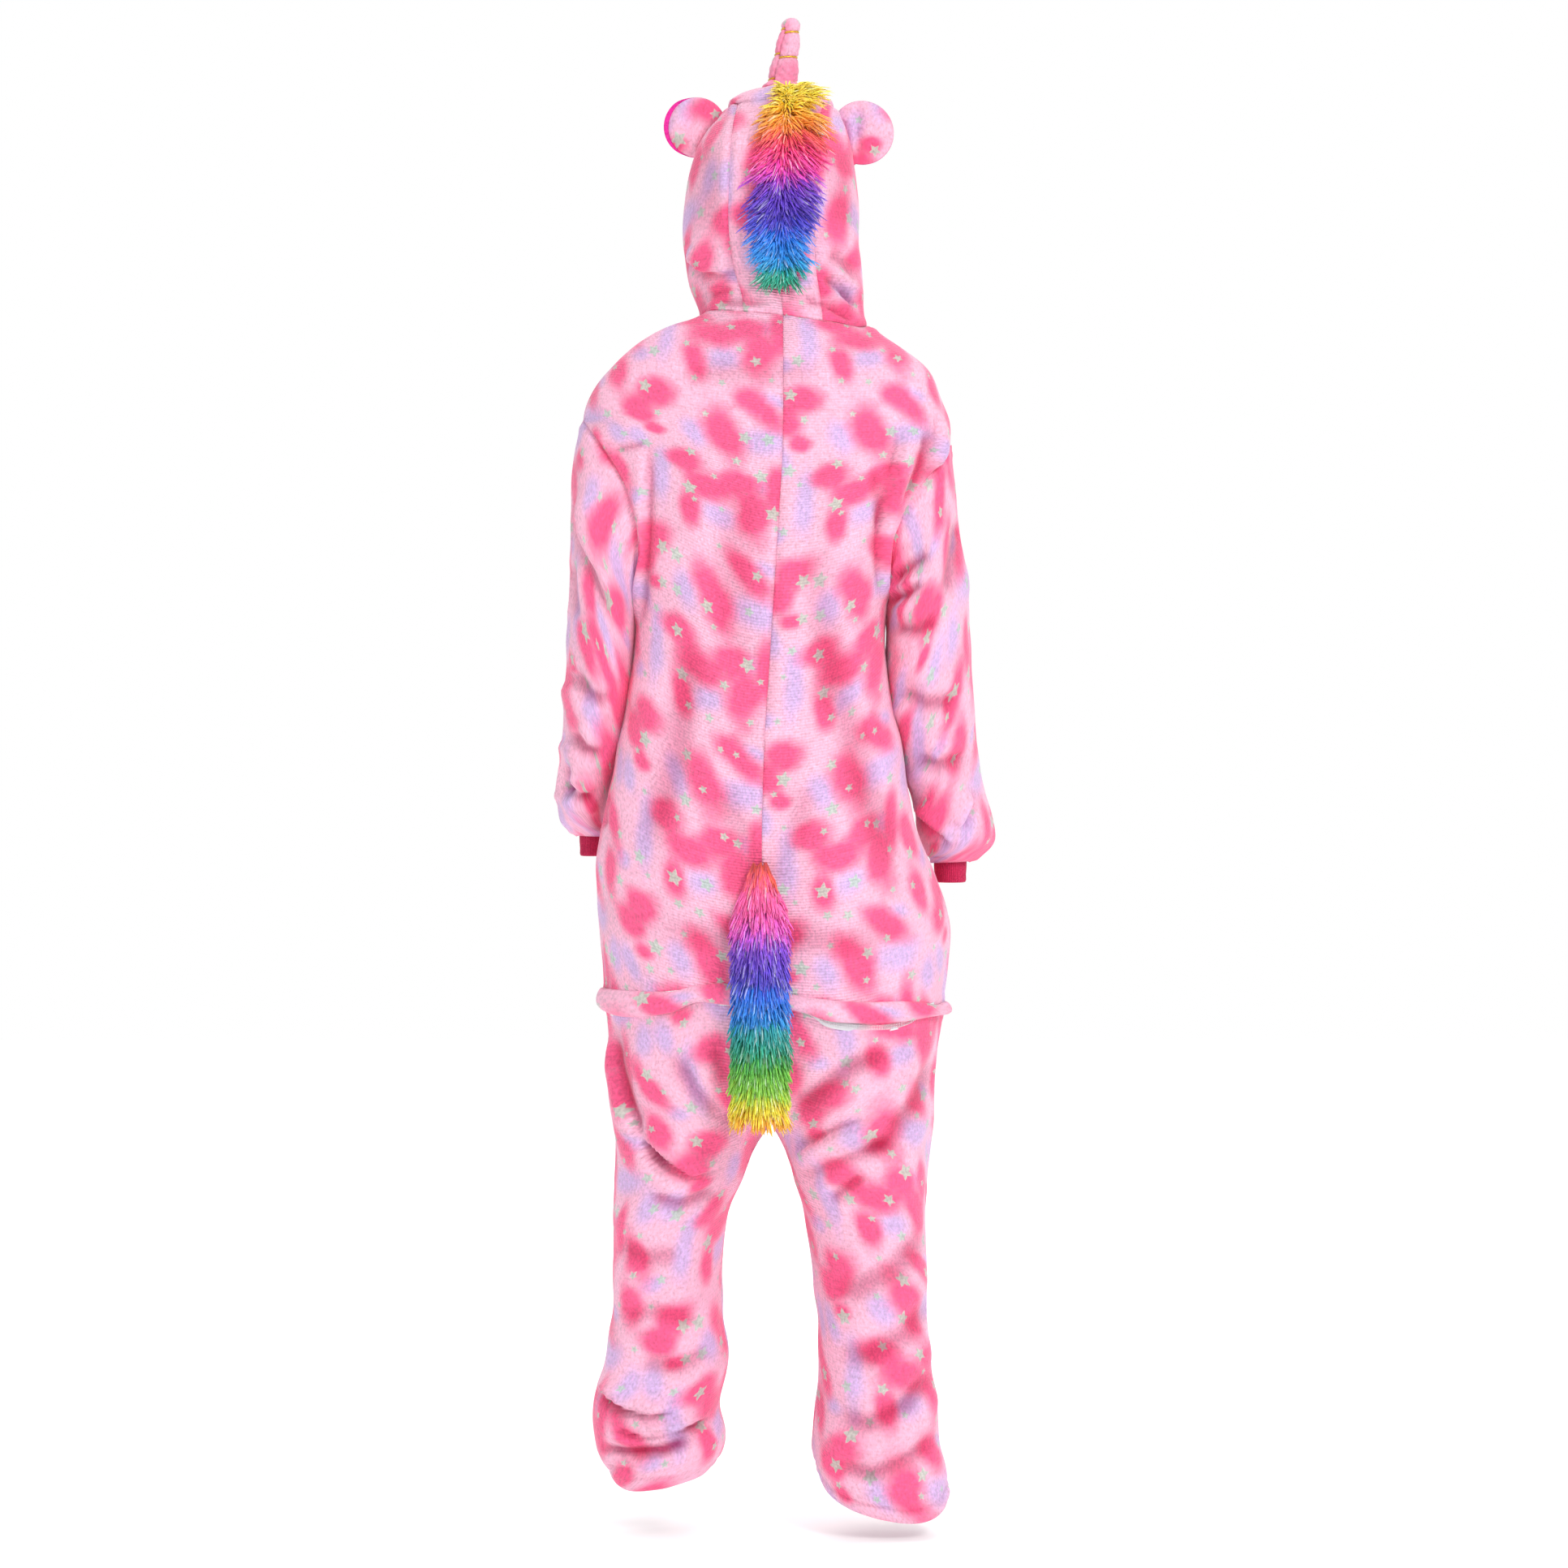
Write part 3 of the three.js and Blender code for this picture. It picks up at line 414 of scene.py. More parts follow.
HOOD_FOLDS = [
    (((-106, 90), (-98, 70), (-86, 58), (-62, 55), (-36, 60)), 7, 6.5, 1),
    (((-84, 34), (-60, 38), (-40, 36)), 6, 3, 1),
    (((6, 40), (28, 33), (52, 22)), 5, 3.5, 1),
    (((52, 52), (74, 40), (97, 18)), 7, 5, 0),
    (((60, 78), (82, 66), (99, 48)), 10, 3.5, 0),
    (((-70, 22), (-40, 18), (-8, 20)), 6, 2.6, 0),
    (((30, 22), (60, 16), (92, 0)), 5, 3, 0),
    (((-84, 210), (-78, 150), (-82, 90)), 20, 2, 0),
    (((80, 205), (76, 150), (80, 100)), 20, 2, 0),
]


FOLD_FADE = 0.22  # share of a fold's length over which each of its ends fades out
OVERLAP_EDGE = 2.2  # softness of an overlapping fold's edge


def folds(x, z, creases):
    """How far the folds push the cloth out, at each point."""
    total = np.zeros_like(x)
    for points, width, depth, over in creases:
        p = np.array(points, float)
        step = np.diff(p, axis=0)
        length = np.hypot(*step.T)
        run = np.concatenate([[0], np.cumsum(length)])
        best = np.full_like(x, 1e9)
        signed = np.zeros_like(x)
        along = np.zeros_like(x)
        for i, (q, d, n) in enumerate(zip(p, step, length)):
            t = np.clip(((x - q[0]) * d[0] + (z - q[1]) * d[1]) / n**2, 0, 1)
            gap_x, gap_z = x - q[0] - t * d[0], z - q[1] - t * d[1]
            gap = np.hypot(gap_x, gap_z)
            near = gap < best
            best = np.where(near, gap, best)
            signed = np.where(near, np.sign(d[0] * gap_z - d[1] * gap_x) * gap, signed)
            along = np.where(near, run[i] + t * n, along)
        share = along / run[-1]
        taper = smooth(share / FOLD_FADE) * smooth((1 - share) / FOLD_FADE)
        if over:
            s = signed * over
            edge = 0.5 + 0.5 * np.tanh(s / OVERLAP_EDGE)
            shape = edge * bell(s, 2.6 * width) - 0.7 * (1 - edge) * bell(s, 1.2 * width)
        else:
            shape = -bell(best, width) + 0.55 * bell(best - 1.9 * width, width)
        total += depth * taper * shape
    return total


BILLOWS = (150, 95, 60, 38)  # wavelengths of the cloth's swell


def billow(p, seed):
    """A slow swell of the cloth, the same on both sides of a seam."""
    rng = np.random.default_rng(seed)
    total = np.zeros(p.shape[:-1])
    for wave in BILLOWS:
        for _ in range(3):
            direction = rng.normal(size=3)
            direction /= np.linalg.norm(direction)
            phase = p @ direction * 2 * math.pi / wave + rng.uniform(0, 6.28)
            total += wave / BILLOWS[0] * np.sin(phase)
    return total


# ---------- the print: a charted repeat of soft spots; x, y, half-length, half-width, tilt ----------
REPEAT_X, REPEAT_Y = 226, 207
PINK_SOFTNESS, LILAC_SOFTNESS, HORN_SOFTNESS = 0.55, 0.7, 0.5  # of the spots' edges, as a share of their size
PINK_SPOTS = [
    (107, 206, 19, 12, 80),
    (180, 49, 29, 13, 40),
    (140, 86, 34, 17, 66),
    (62, 47, 20, 16, -20),
    (43, 70, 19, 15, 20),
    (98, 141, 20, 15, 10),
    (130, 166, 28, 16, 0),
    (163, 147, 18, 13, 0),
    (181, 182, 33, 17, 88),
    (203, 150, 28, 10, 88),
    (60, 98, 11, 8, 0),
    (9, 27, 24, 13, 80),
    (12, 178, 30, 12, 60),
]
LILAC_SPOTS = [
    (107, 92, 17, 12, 60),
    (191, 89, 25, 15, 0),
    (197, 40, 13, 7, 20),
    (69, 170, 37, 10, 90),
    (138, 200, 17, 12, -20),
    (39, 118, 17, 10, 70),
    (38, 4, 11, 8, 0),
    (189, 148, 9, 9, 0),
    (12, 120, 18, 11, 80),
]


def spots(u, v, chart, soft):
    """How strongly the charted spots dye the cloth at (u, v); their outlines waver a little."""
    wobble = 2.6 * np.sin(u / 9.3 + 1.7 * np.sin(v / 13.1))
    wobble = wobble + 2.2 * np.sin(v / 8.1 + 1.3 * np.sin(u / 14.3))
    clear = np.ones_like(u)
    for x, y, long, short, tilt in chart:
        a = math.radians(tilt)
        du = (u - x + REPEAT_X / 2) % REPEAT_X - REPEAT_X / 2
        dv = (v - y + REPEAT_Y / 2) % REPEAT_Y - REPEAT_Y / 2
        r = np.hypot(
            (du * math.cos(a) + dv * math.sin(a)) / long, (dv * math.cos(a) - du * math.sin(a)) / short
        )
        r = 0.86 * r + 0.035 * wobble
        clear *= 1 - smooth((1 + soft - r) / (2 * soft))
    return 1 - clear


# ---------- cloth pieces ----------
def relax(p, z, middle, width, rounds):
    """Evens out a grid round a height, keeping its edges, so that one section runs softly into the next."""
    pull = 0.8 * bell(z[1:-1, None] - middle, width)[..., None]
    for _ in range(rounds):
        around = (p[:-2, 1:-1] + p[2:, 1:-1] + p[1:-1, :-2] + p[1:-1, 2:]) / 4
        p[1:-1, 1:-1] += pull * (around - p[1:-1, 1:-1])
    return p


def dye(mesh, u, v):
    """Gives each point its share of the print's two dyes."""
    set_values(mesh, "pink", spots(u, v, PINK_SPOTS, PINK_SOFTNESS))
    set_values(mesh, "lilac", spots(u, v, LILAC_SPOTS, LILAC_SOFTNESS))


def ramp(length, cell):
    """Shares of a length, with finer steps beside both ends."""
    fine, even_from = np.array([0, 1.2, 2.6, 4.4, 7.0]), 10.5
    inner = np.linspace(even_from, length - even_from, max(3, round((length - 2 * even_from) / cell)))
    return np.concatenate([fine, inner, length - fine[::-1]]) / length


def grid_normals(p, inside):
    """Unit normals that point away from the inside, and whether they are the grid's own."""
    du, dv = np.gradient(p, axis=1), np.gradient(p, axis=0)
    n = np.cross(du, dv)
    n /= np.maximum(np.linalg.norm(n, axis=-1, keepdims=True), 1e-9)
    outward = np.sum(n * (p - inside)) > 0
    return (n if outward else -n), outward


def lengths(p, axis):
    """Lengths along a grid's rows or columns, from their start."""
    step = np.linalg.norm(np.diff(p, axis=axis), axis=-1)
    start = np.zeros_like(np.take(step, [0], axis=axis))
    return np.cumsum(np.concatenate([start, step], axis=axis), axis=axis)


def make_mesh(name, points, faces, materials):
    mesh = bpy.data.meshes.new(name)
    mesh.from_pydata(np.asarray(points, float) * MM, [], faces)
    mesh.validate()
    obj = bpy.data.objects.new(name, mesh)
    bpy.context.scene.collection.objects.link(obj)
    for material in materials:
        mesh.materials.append(material)
    mesh.polygons.foreach_set("use_smooth", [True] * len(mesh.polygons))
    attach(obj, "root")
    return obj


def skin(rows, around, turned=False):
    """Faces of rows of points that each close round a section, capped at both ends; turned, they face in."""
    index = np.arange(rows * around).reshape(rows, around)
    right = np.roll(index, -1, axis=1)
    corners, caps = [index[:-1], right[:-1], right[1:], index[1:]], [index[0][::-1], index[-1]]
    if turned:
        corners, caps = [corners[i] for i in (0, 3, 2, 1)], [cap[::-1] for cap in caps]
    return np.stack(corners, -1).reshape(-1, 4).tolist() + [cap.tolist() for cap in caps]


def set_values(mesh, name, values):
    layer = mesh.attributes.new(name, "FLOAT", "POINT")
    layer.data.foreach_set("value", np.asarray(values, np.float32).ravel())


def set_cut(mesh, u, v):
    """The UV map is the flat cut, in metres."""
    layer = mesh.uv_layers.new(name="cut")
    corner = np.zeros(len(mesh.loops), int)
    mesh.loops.foreach_get("vertex_index", corner)
    flat = np.stack([u.ravel(), v.ravel()], -1)[corner] * MM
    layer.data.foreach_set("uv", flat.astype(np.float32).ravel())


SWELL = 0.62  # how far the cloth billows
DARKEST_SHADE_DEPTH = 5.5  # depth of a fold at which its painted shade is darkest


def cloth(
    name, p, inside, creases, edges, sizes, crisp=1.25, swell=1.0, hold=1.0, seed=5, even_at=None, flat=60
):
    """A cut piece of fleece: rows and columns of points, folded, seamed at its edges and given its thickness.

    inside is a point behind each of them. edges says what is at the top, bottom, first and last column: s for
    a seam, h for a hem and t for a stitched edge. crisp is how deep the folds are, swell how far the cloth
    billows, and hold how freely folds form at each point. even_at is a height round which the print is evened
    out, and flat is how far from the middle the pile lies flat, so that the knit's courses show.
    """
    n, outward = grid_normals(p, inside)
    across, down = lengths(p, 1), lengths(p, 0)
    to_edge = (down, down[-1:] - down, across, across[:, -1:] - across)
    u = across
    v = (down + down.mean(axis=1, keepdims=True)) / 2
    if even_at is not None:
        u = relax(u[..., None].copy(), p[..., 2].mean(axis=1), even_at, width=55, rounds=400)[..., 0]
    fold = folds(p[..., 0], p[..., 2], creases)
    push = crisp * fold * hold + SWELL * sizes.swell * swell * billow(p, seed)
    groove = np.zeros_like(push)
    # sewn gathers the painted shadow along seams, hems and stitch lines.
    sewn = np.zeros_like(push)
    for distance, kind in zip(to_edge, edges):
        if kind == "s":
            push = push * smooth(distance / 10)
            groove += 1.5 * bell(distance - 9, 5)
            sewn += bell(distance, 2.4)
        elif kind == "h":
            groove += 1.6 * (bell(distance - 7, 4.5) - bell(distance - 17, 2.4)) - 0.8 * bell(distance, 1.6)
            sewn += 1.6 * bell(distance - 17, 1.8)
        else:
            groove += 0.8 * bell(distance - 10, 6) - 0.9 * bell(distance - 4, 1.5) - 0.6 * bell(distance, 1.4)
            sewn += bell(distance - 4, 1.3)
    # Painted shade: darker the deeper a fold, plus the painted shadow along seams, hems and stitch lines.
    painted_fold_and_seam_shade = np.clip(-fold / DARKEST_SHADE_DEPTH, 0, 1) * hold + 0.2 * sewn
    folded = p + n * (push + groove)[..., None]
    rows, columns = p.shape[:2]
    index = np.arange(rows * columns).reshape(rows, columns)
    quads = np.stack([index[:-1, :-1], index[:-1, 1:], index[1:, 1:], index[1:, :-1]], -1).reshape(-1, 4)
    if not outward:
        quads = quads[:, ::-1]
    materials = [MATERIALS["fleece"], MATERIALS["wrong_side"]]
    obj = make_mesh(name, folded.reshape(-1, 3), quads.tolist(), materials)
    way = -1 if name in TURNED else 1
    start_u, start_v = CUT_FROM[name]
    u, v = start_u + way * (-u if "left" in name else u), start_v + way * v
    set_cut(obj.data, u, v)
    dye(obj.data, u, v)
    set_values(obj.data, "painted_fold_and_seam_shade", painted_fold_and_seam_shade)
    set_values(obj.data, "flat_pile", 0.15 + 0.85 * bell(p[..., 0], flat))
    thicken = obj.modifiers.new("thickness", "SOLIDIFY")
    thicken.thickness = sizes.wall
    thicken.offset = -1
    thicken.use_even_offset = False
    thicken.material_offset = 1
    thicken.material_offset_rim = 0
    return obj


# ---------- colours and materials ----------
def srgb(code):
    """An sRGB hex colour as linear values."""
    parts = [int(code[i : i + 2], 16) / 255 for i in (1, 3, 5)]
    return tuple(c / 12.92 if c <= 0.04045 else ((c + 0.055) / 1.055) ** 2.4 for c in parts)


def add(tree, kind, inputs=None, **settings):
    """Adds a node with its settings; each input is a value, an output, or a node, for its first output."""
    node = tree.nodes.new(kind)
    for key, value in settings.items():
        setattr(node, key, value)
    for key, value in (inputs or {}).items():
        if isinstance(value, bpy.types.Node):
            value = value.outputs[0]
        if isinstance(value, bpy.types.NodeSocket):
            tree.links.new(value, node.inputs[key])
        else:
            node.inputs[key].default_value = value
    return node


def new_material(name, **values):
    """A material with only the principled shader, whose even values are set on its own sockets."""
    material = bpy.data.materials.new(name)
    material.use_nodes = True
    tree = material.node_tree
    tree.nodes.clear()
    shader = add(tree, "ShaderNodeBsdfPrincipled")
    for key, value in values.items():
        shader.inputs[key.replace("_", " ")].default_value = value
    add(tree, "ShaderNodeOutputMaterial", {0: shader})
    return material, tree, shader


def paint(color, strength=1.0, lift=0.0):
    """A colour socket's value, with the colour made stronger or lifted."""
    return (*(min(1, c * strength + lift) for c in color), 1.0)


def finish(tree, shader, color, height=None, strength=0.0, depth=0.0):
    """Gives a shader its colour and, from a height, its bump."""
    tree.links.new(color, shader.inputs["Base Color"])
    if height is not None:
        bump = add(tree, "ShaderNodeBump", {"Height": height, "Strength": strength, "Distance": depth})
        tree.links.new(bump.outputs[0], shader.inputs["Normal"])


WAVE = math.pi / 10  # a wave texture's period at a scale of 1
STAR_CELL = 44 * MM
STAR_SMALLEST, STAR_GROWTH = 4.4 * MM, 6.6 * MM  # radius to a point
COURSES = 3.4 * MM  # between the knit's visible courses


def fleece_material(look):
    """Printed coral fleece: polyester pile on a weft knit, brushed soft.

    The eye gets a matt, cloudy print with a grain of lit and shaded tufts and a pale sheen at the edges.
    """
    material, tree, shader = new_material(
        "printed_coral_fleece",
        Roughness=0.92,
        Specular_IOR_Level=0.25,
        Sheen_Weight=0.42,
        Sheen_Roughness=0.45,
        Sheen_Tint=paint(srgb("#FFE3F0")),
    )
    cut = add(tree, "ShaderNodeUVMap", uv_map="cut")
    # Tufts are about 1.2 mm and lie downwards; they are drawn 3 mm wide and 4.5 mm long, to show at all.
    lie = add(tree, "ShaderNodeMapping", {"Vector": cut, "Scale": (1.0, 0.66, 1.0)})
    grain = {"Vector": lie, "Scale": 1 / (3 * MM), "Detail": 2.0, "Roughness": 0.6}
    tuft = add(tree, "ShaderNodeTexNoise", grain)
    grain = {"Vector": cut, "Scale": 1 / (9 * MM), "Detail": 2.0, "Roughness": 0.55}
    clump = add(tree, "ShaderNodeTexNoise", grain)
    shade = add(tree, "ShaderNodeTexNoise", {"Vector": cut, "Scale": 1 / (55 * MM), "Detail": 1.0})
    ragged = add(tree, "ShaderNodeMath", {0: clump, 1: 0.55, 2: -0.525}, operation="MULTIPLY_ADD")
    ragged = add(tree, "ShaderNodeMath", {0: tuft, 1: 0.5, 2: ragged}, operation="MULTIPLY_ADD")

    # The charted dyes, with edges that the tufts make ragged.
    printed = paint(look.ground)
    for attribute, low, strength, color in (("lilac", 0.1, 0.8, look.lilac), ("pink", 0.02, 1.0, look.pink)):
        level = add(tree, "ShaderNodeAttribute", attribute_name=attribute).outputs["Fac"]
        rough = add(tree, "ShaderNodeMath", {0: ragged, 1: 0.8, 2: level}, operation="MULTIPLY_ADD")
        dyed = add(tree, "ShaderNodeMapRange", {0: rough, 1: low, 2: 0.95, 4: strength})
        mixed = {0: dyed, 6: printed, 7: paint(color)}
        printed = add(tree, "ShaderNodeMix", mixed, data_type="RGBA").outputs[2]

    # Five-pointed stars, up to 22 mm across and one in each cell of the print.
    star = {"Vector": cut, "Scale": 1 / STAR_CELL, "Randomness": 0.8}
    star = add(tree, "ShaderNodeTexVoronoi", star, voronoi_dimensions="2D")
    away = add(tree, "ShaderNodeVectorMath", {0: cut, 1: star.outputs["Position"]}, operation="SUBTRACT")
    chance = add(tree, "ShaderNodeSeparateColor", {0: star.outputs["Color"]})
    axes = add(tree, "ShaderNodeSeparateXYZ", {0: away})
    turn = add(tree, "ShaderNodeMath", {0: axes, 1: axes.outputs[1]}, operation="ARCTAN2")
    turn = add(tree, "ShaderNodeMath", {0: chance, 1: 6.28, 2: turn}, operation="MULTIPLY_ADD")
    turn = add(tree, "ShaderNodeMath", {0: turn, 1: 5 / (2 * math.pi)}, operation="MULTIPLY")
    point = add(tree, "ShaderNodeMath", {0: turn, 1: 0.5}, operation="PINGPONG")
    inverse = add(tree, "ShaderNodeMath", {0: point, 1: 2.0, 2: 1.0}, operation="MULTIPLY_ADD")
    chosen = add(tree, "ShaderNodeMath", {0: chance.outputs[1], 1: 1.6}, operation="POWER")
    radius = {0: chosen, 1: STAR_GROWTH, 2: STAR_SMALLEST}
    radius = add(tree, "ShaderNodeMath", radius, operation="MULTIPLY_ADD")
    reach = add(tree, "ShaderNodeMath", {0: radius, 1: inverse}, operation="DIVIDE")
    distance = add(tree, "ShaderNodeVectorMath", {0: away}, operation="LENGTH").outputs["Value"]
    inside = add(tree, "ShaderNodeMath", {0: reach, 1: distance}, operation="SUBTRACT")
    frayed = add(tree, "ShaderNodeMath", {0: tuft, 1: 0.5}, operation="SUBTRACT")
    inside = add(tree, "ShaderNodeMath", {0: frayed, 1: 3 * MM, 2: inside}, operation="MULTIPLY_ADD")
    starred = add(tree, "ShaderNodeMapRange", {0: inside, 1: -0.4 * MM, 2: 0.8 * MM, 4: 0.8})
    mixed = {0: starred, 6: printed, 7: paint(look.star)}
    printed = add(tree, "ShaderNodeMix", mixed, data_type="RGBA").outputs[2]

    # Painted shade: deep in folds and along seams and stitch lines the print is multiplied towards the fold
    # colour.
    deep = add(tree, "ShaderNodeAttribute", attribute_name="painted_fold_and_seam_shade").outputs["Fac"]
    deep = add(tree, "ShaderNodeMath", {0: deep, 1: 0.9}, operation="MULTIPLY")
    mixed = {0: deep, 6: printed, 7: paint(look.fold)}
    fuller = add(tree, "ShaderNodeMix", mixed, data_type="RGBA", blend_type="MULTIPLY").outputs[2]
    # Painted light and shade on the tufts, besides their own tone: each tuft's colour is lightened or
    # darkened.
    grain = add(tree, "ShaderNodeMapRange", {0: tuft, 1: 0.28, 2: 0.7, 3: 0.8, 4: 1.27})
    cloud = add(tree, "ShaderNodeMapRange", {0: shade, 1: 0.3, 2: 0.7, 3: 0.94, 4: 1.05})
    grain = add(tree, "ShaderNodeMath", {0: grain, 1: cloud}, operation="MULTIPLY")
    # The knit's courses are 1.7 mm apart, and every other one shows where the pile lies flat.
    course = {"Vector": cut, "Scale": WAVE / COURSES, "Distortion": 1.2, "Detail": 1.0}
    course = add(tree, "ShaderNodeTexWave", course, bands_direction="Y").outputs[1]
    flat = add(tree, "ShaderNodeAttribute", attribute_name="flat_pile").outputs["Fac"]
    knit = add(tree, "ShaderNodeMath", {0: course, 1: flat}, operation="MULTIPLY")
    lines = add(tree, "ShaderNodeMath", {0: knit, 1: 0.16, 2: 0.95}, operation="MULTIPLY_ADD")
    grain = add(tree, "ShaderNodeMath", {0: grain, 1: lines}, operation="MULTIPLY")
    grain = add(tree, "ShaderNodeCombineXYZ", {0: grain, 1: grain, 2: grain})
    lit = add(tree, "ShaderNodeVectorMath", {0: fuller, 1: grain}, operation="MULTIPLY").outputs[0]
    height = add(tree, "ShaderNodeMath", {0: clump, 1: 0.5, 2: tuft}, operation="MULTIPLY_ADD")
    height = add(tree, "ShaderNodeMath", {0: knit, 1: 1.1, 2: height}, operation="MULTIPLY_ADD")
    finish(tree, shader, lit, height, 0.75, 1.1 * MM)
    return material


def plush_material(name, color, tuft_size=2.4, sheen=0.3):
    """Plain polyester plush or knit: dyed through and matt, with a short grain and a soft sheen."""
    material, tree, shader = new_material(name, Roughness=0.9, Sheen_Weight=sheen, Sheen_Roughness=0.4)
    place = add(tree, "ShaderNodeTexCoord").outputs["Object"]
    tuft = add(tree, "ShaderNodeTexNoise", {"Vector": place, "Scale": 1 / (tuft_size * MM), "Detail": 2.0})
    cloud = add(tree, "ShaderNodeTexNoise", {"Vector": place, "Scale": 1 / (30 * MM), "Detail": 2.0})
    tone = add(tree, "ShaderNodeMath", {0: cloud, 1: 0.35, 2: tuft}, operation="MULTIPLY_ADD")
    tone = add(tree, "ShaderNodeMapRange", {0: tone, 1: 0.45, 2: 0.9})
    mixed = {0: tone, 6: paint(color, 0.72), 7: paint(color, 1.12, 0.01)}
    finish(tree, shader, add(tree, "ShaderNodeMix", mixed, data_type="RGBA").outputs[2], tuft, 0.7, 0.9 * MM)
    return material


def tinsel_material():
    """Dyed polyester tinsel yarn: smooth bright filaments that throw a thin highlight along each strand."""
    material, tree, shader = new_material("dyed_tinsel_yarn", Roughness=0.34, Specular_IOR_Level=0.55)
    # The dye attribute holds the yarn's dye with its painted highlights and painted shade.
    dye_and_painted_light = add(tree, "ShaderNodeAttribute", attribute_name="dye").outputs["Color"]
    place = add(tree, "ShaderNodeTexCoord").outputs["Object"]
    streak = add(tree, "ShaderNodeTexNoise", {"Vector": place, "Scale": 1 / (4 * MM), "Detail": 1.0})
    tone = add(tree, "ShaderNodeMapRange", {0: streak, 1: 0.35, 2: 0.7, 3: 0.85, 4: 1.2})
    tone = add(tree, "ShaderNodeCombineXYZ", {0: tone, 1: tone, 2: tone})
    shaded = add(tree, "ShaderNodeVectorMath", {0: dye_and_painted_light, 1: tone}, operation="MULTIPLY")
    finish(tree, shader, shaded.outputs[0])
    return material


def thread_material(color):
    """Metallised gold lurex thread: a foil strip round a core, bright with a soft twist."""
    material, tree, shader = new_material("gold_lurex_thread", Metallic=0.6, Roughness=0.35)
    place = add(tree, "ShaderNodeTexCoord").outputs["Object"]
    twist = add(tree, "ShaderNodeTexNoise", {"Vector": place, "Scale": 1 / (1.5 * MM)})
    tone = add(tree, "ShaderNodeMapRange", {0: twist, 1: 0.3, 2: 0.7})
    mixed = {0: tone, 6: paint(color, 0.6), 7: paint(color)}
    finish(tree, shader, add(tree, "ShaderNodeMix", mixed, data_type="RGBA").outputs[2])
    return material


def zip_material():
    """White nylon coil and polyester tape: a smooth, slightly glossy monofilament on a fine twill."""
    material, tree, shader = new_material("white_nylon_zip", Roughness=0.42)
    place = add(tree, "ShaderNodeTexCoord").outputs["Object"]
    twill = {"Vector": place, "Scale": WAVE / (1.2 * MM)}
    twill = add(tree, "ShaderNodeTexWave", twill, bands_direction="DIAGONAL").outputs[1]
    mixed = {0: twill, 6: paint(srgb("#DCDDE2")), 7: paint(srgb("#F4F4F6"))}
    finish(tree, shader, add(tree, "ShaderNodeMix", mixed, data_type="RGBA").outputs[2], twill, 0.4, 0.3 * MM)
    return material


def button_material(color):
    """Cast polyester resin button: a glossy dyed body with a faint pearl cloud."""
    material, tree, shader = new_material("cast_polyester_button", Roughness=0.22, Coat_Weight=0.3)
    place = add(tree, "ShaderNodeTexCoord").outputs["Object"]
    pearl = {"Vector": place, "Scale": 1 / (5 * MM), "Detail": 3.0, "Distortion": 1.5}
    pearl = add(tree, "ShaderNodeTexNoise", pearl)
    mixed = {0: pearl, 6: paint(color), 7: paint(color, 1.3, 0.05)}
    finish(tree, shader, add(tree, "ShaderNodeMix", mixed, data_type="RGBA").outputs[2])
    return material


def floor_material(color):
    """Painted studio board: matt, with barely any grain, and a little light of its own.

    That light keeps the far floor as pale as the air above it.
    """
    glow = {"Emission_Color": (1, 1, 1, 1), "Emission_Strength": 0.24}
    material, tree, shader = new_material("painted_studio_board", Roughness=0.9, **glow)
    place = add(tree, "ShaderNodeTexCoord").outputs["Object"]
    mottle = add(tree, "ShaderNodeTexNoise", {"Vector": place, "Scale": 3.0})
    mixed = {0: mottle, 6: paint(color), 7: paint(color, 1.01)}
    finish(tree, shader, add(tree, "ShaderNodeMix", mixed, data_type="RGBA").outputs[2])
    return material


MATERIALS = {}


def make_materials(look):
    MATERIALS.update(
        fleece=fleece_material(look),
        wrong_side=plush_material("fleece_wrong_side", look.wrong_side, tuft_size=3.0),
        magenta=plush_material("magenta_velboa", look.lining),
        cuff=plush_material("crimson_rib_knit", look.cuff, tuft_size=1.8, sheen=0.2),
        tinsel=tinsel_material(),
        gold=thread_material(look.thread),
        zip=zip_material(),
        button=button_material(look.button),
    )


# ---------- sizes and colours a user may change ----------
def color_value(name, code, description):
    return FloatVectorProperty(
        name=name, subtype="COLOR", size=3, min=0, max=1, default=srgb(code), description=description
    )


def length_value(name, default, least, description):
    """A length's property, from millimetres."""
    return FloatProperty(
        name=name, default=default * MM, min=least * MM, unit="LENGTH", description=description
    )


class ONESIE_PG_Sizes(bpy.types.PropertyGroup):
    cell: length_value("Cell", 4.2, 2, "Size of the cloth's mesh cells on the back")
    front_cell: length_value("Front cell", 5.6, 2, "Size of the cloth's mesh cells on the front")
    wall: length_value("Fleece", 2.0, 1, "Thickness of the fleece")
    swell: FloatProperty(name="Swell", default=1.0, min=0, description="Strength of the cloth's slow swell")
    thread: length_value("Thread", 2.0, 0.5, "Thickness of the horn's thread")


class ONESIE_PG_Look(bpy.types.PropertyGroup):
    ground: color_value("Ground", "#EEB2CA", "Ground of the print")
    pink: color_value("Pink", "#EE5A88", "Spots of the print")
    lilac: color_value("Lilac", "#C2ABDC", "Small spots of the print")
    star: color_value("Star", "#AFC4B6", "Stars of the print")
    # fold is the colour of the painted shade, multiplied into the print in folds and along seams.
    fold: color_value("Fold", "#B83C74", "Multiplies the print deep in a fold")
    wrong_side: color_value("Wrong side", "#F6C6DA", "Inside of the fleece")
    lining: color_value("Ear lining", "#E5209A", "Lining of the ears")
    cuff: color_value("Cuff", "#C41550", "Knitted cuffs")
    thread: color_value("Thread", "#F8CB3A", "Thread round the horn")
    button: color_value("Button", "#D81B6A", "Buttons")
    floor: color_value("Floor", "#F6F5F5", "Studio floor")


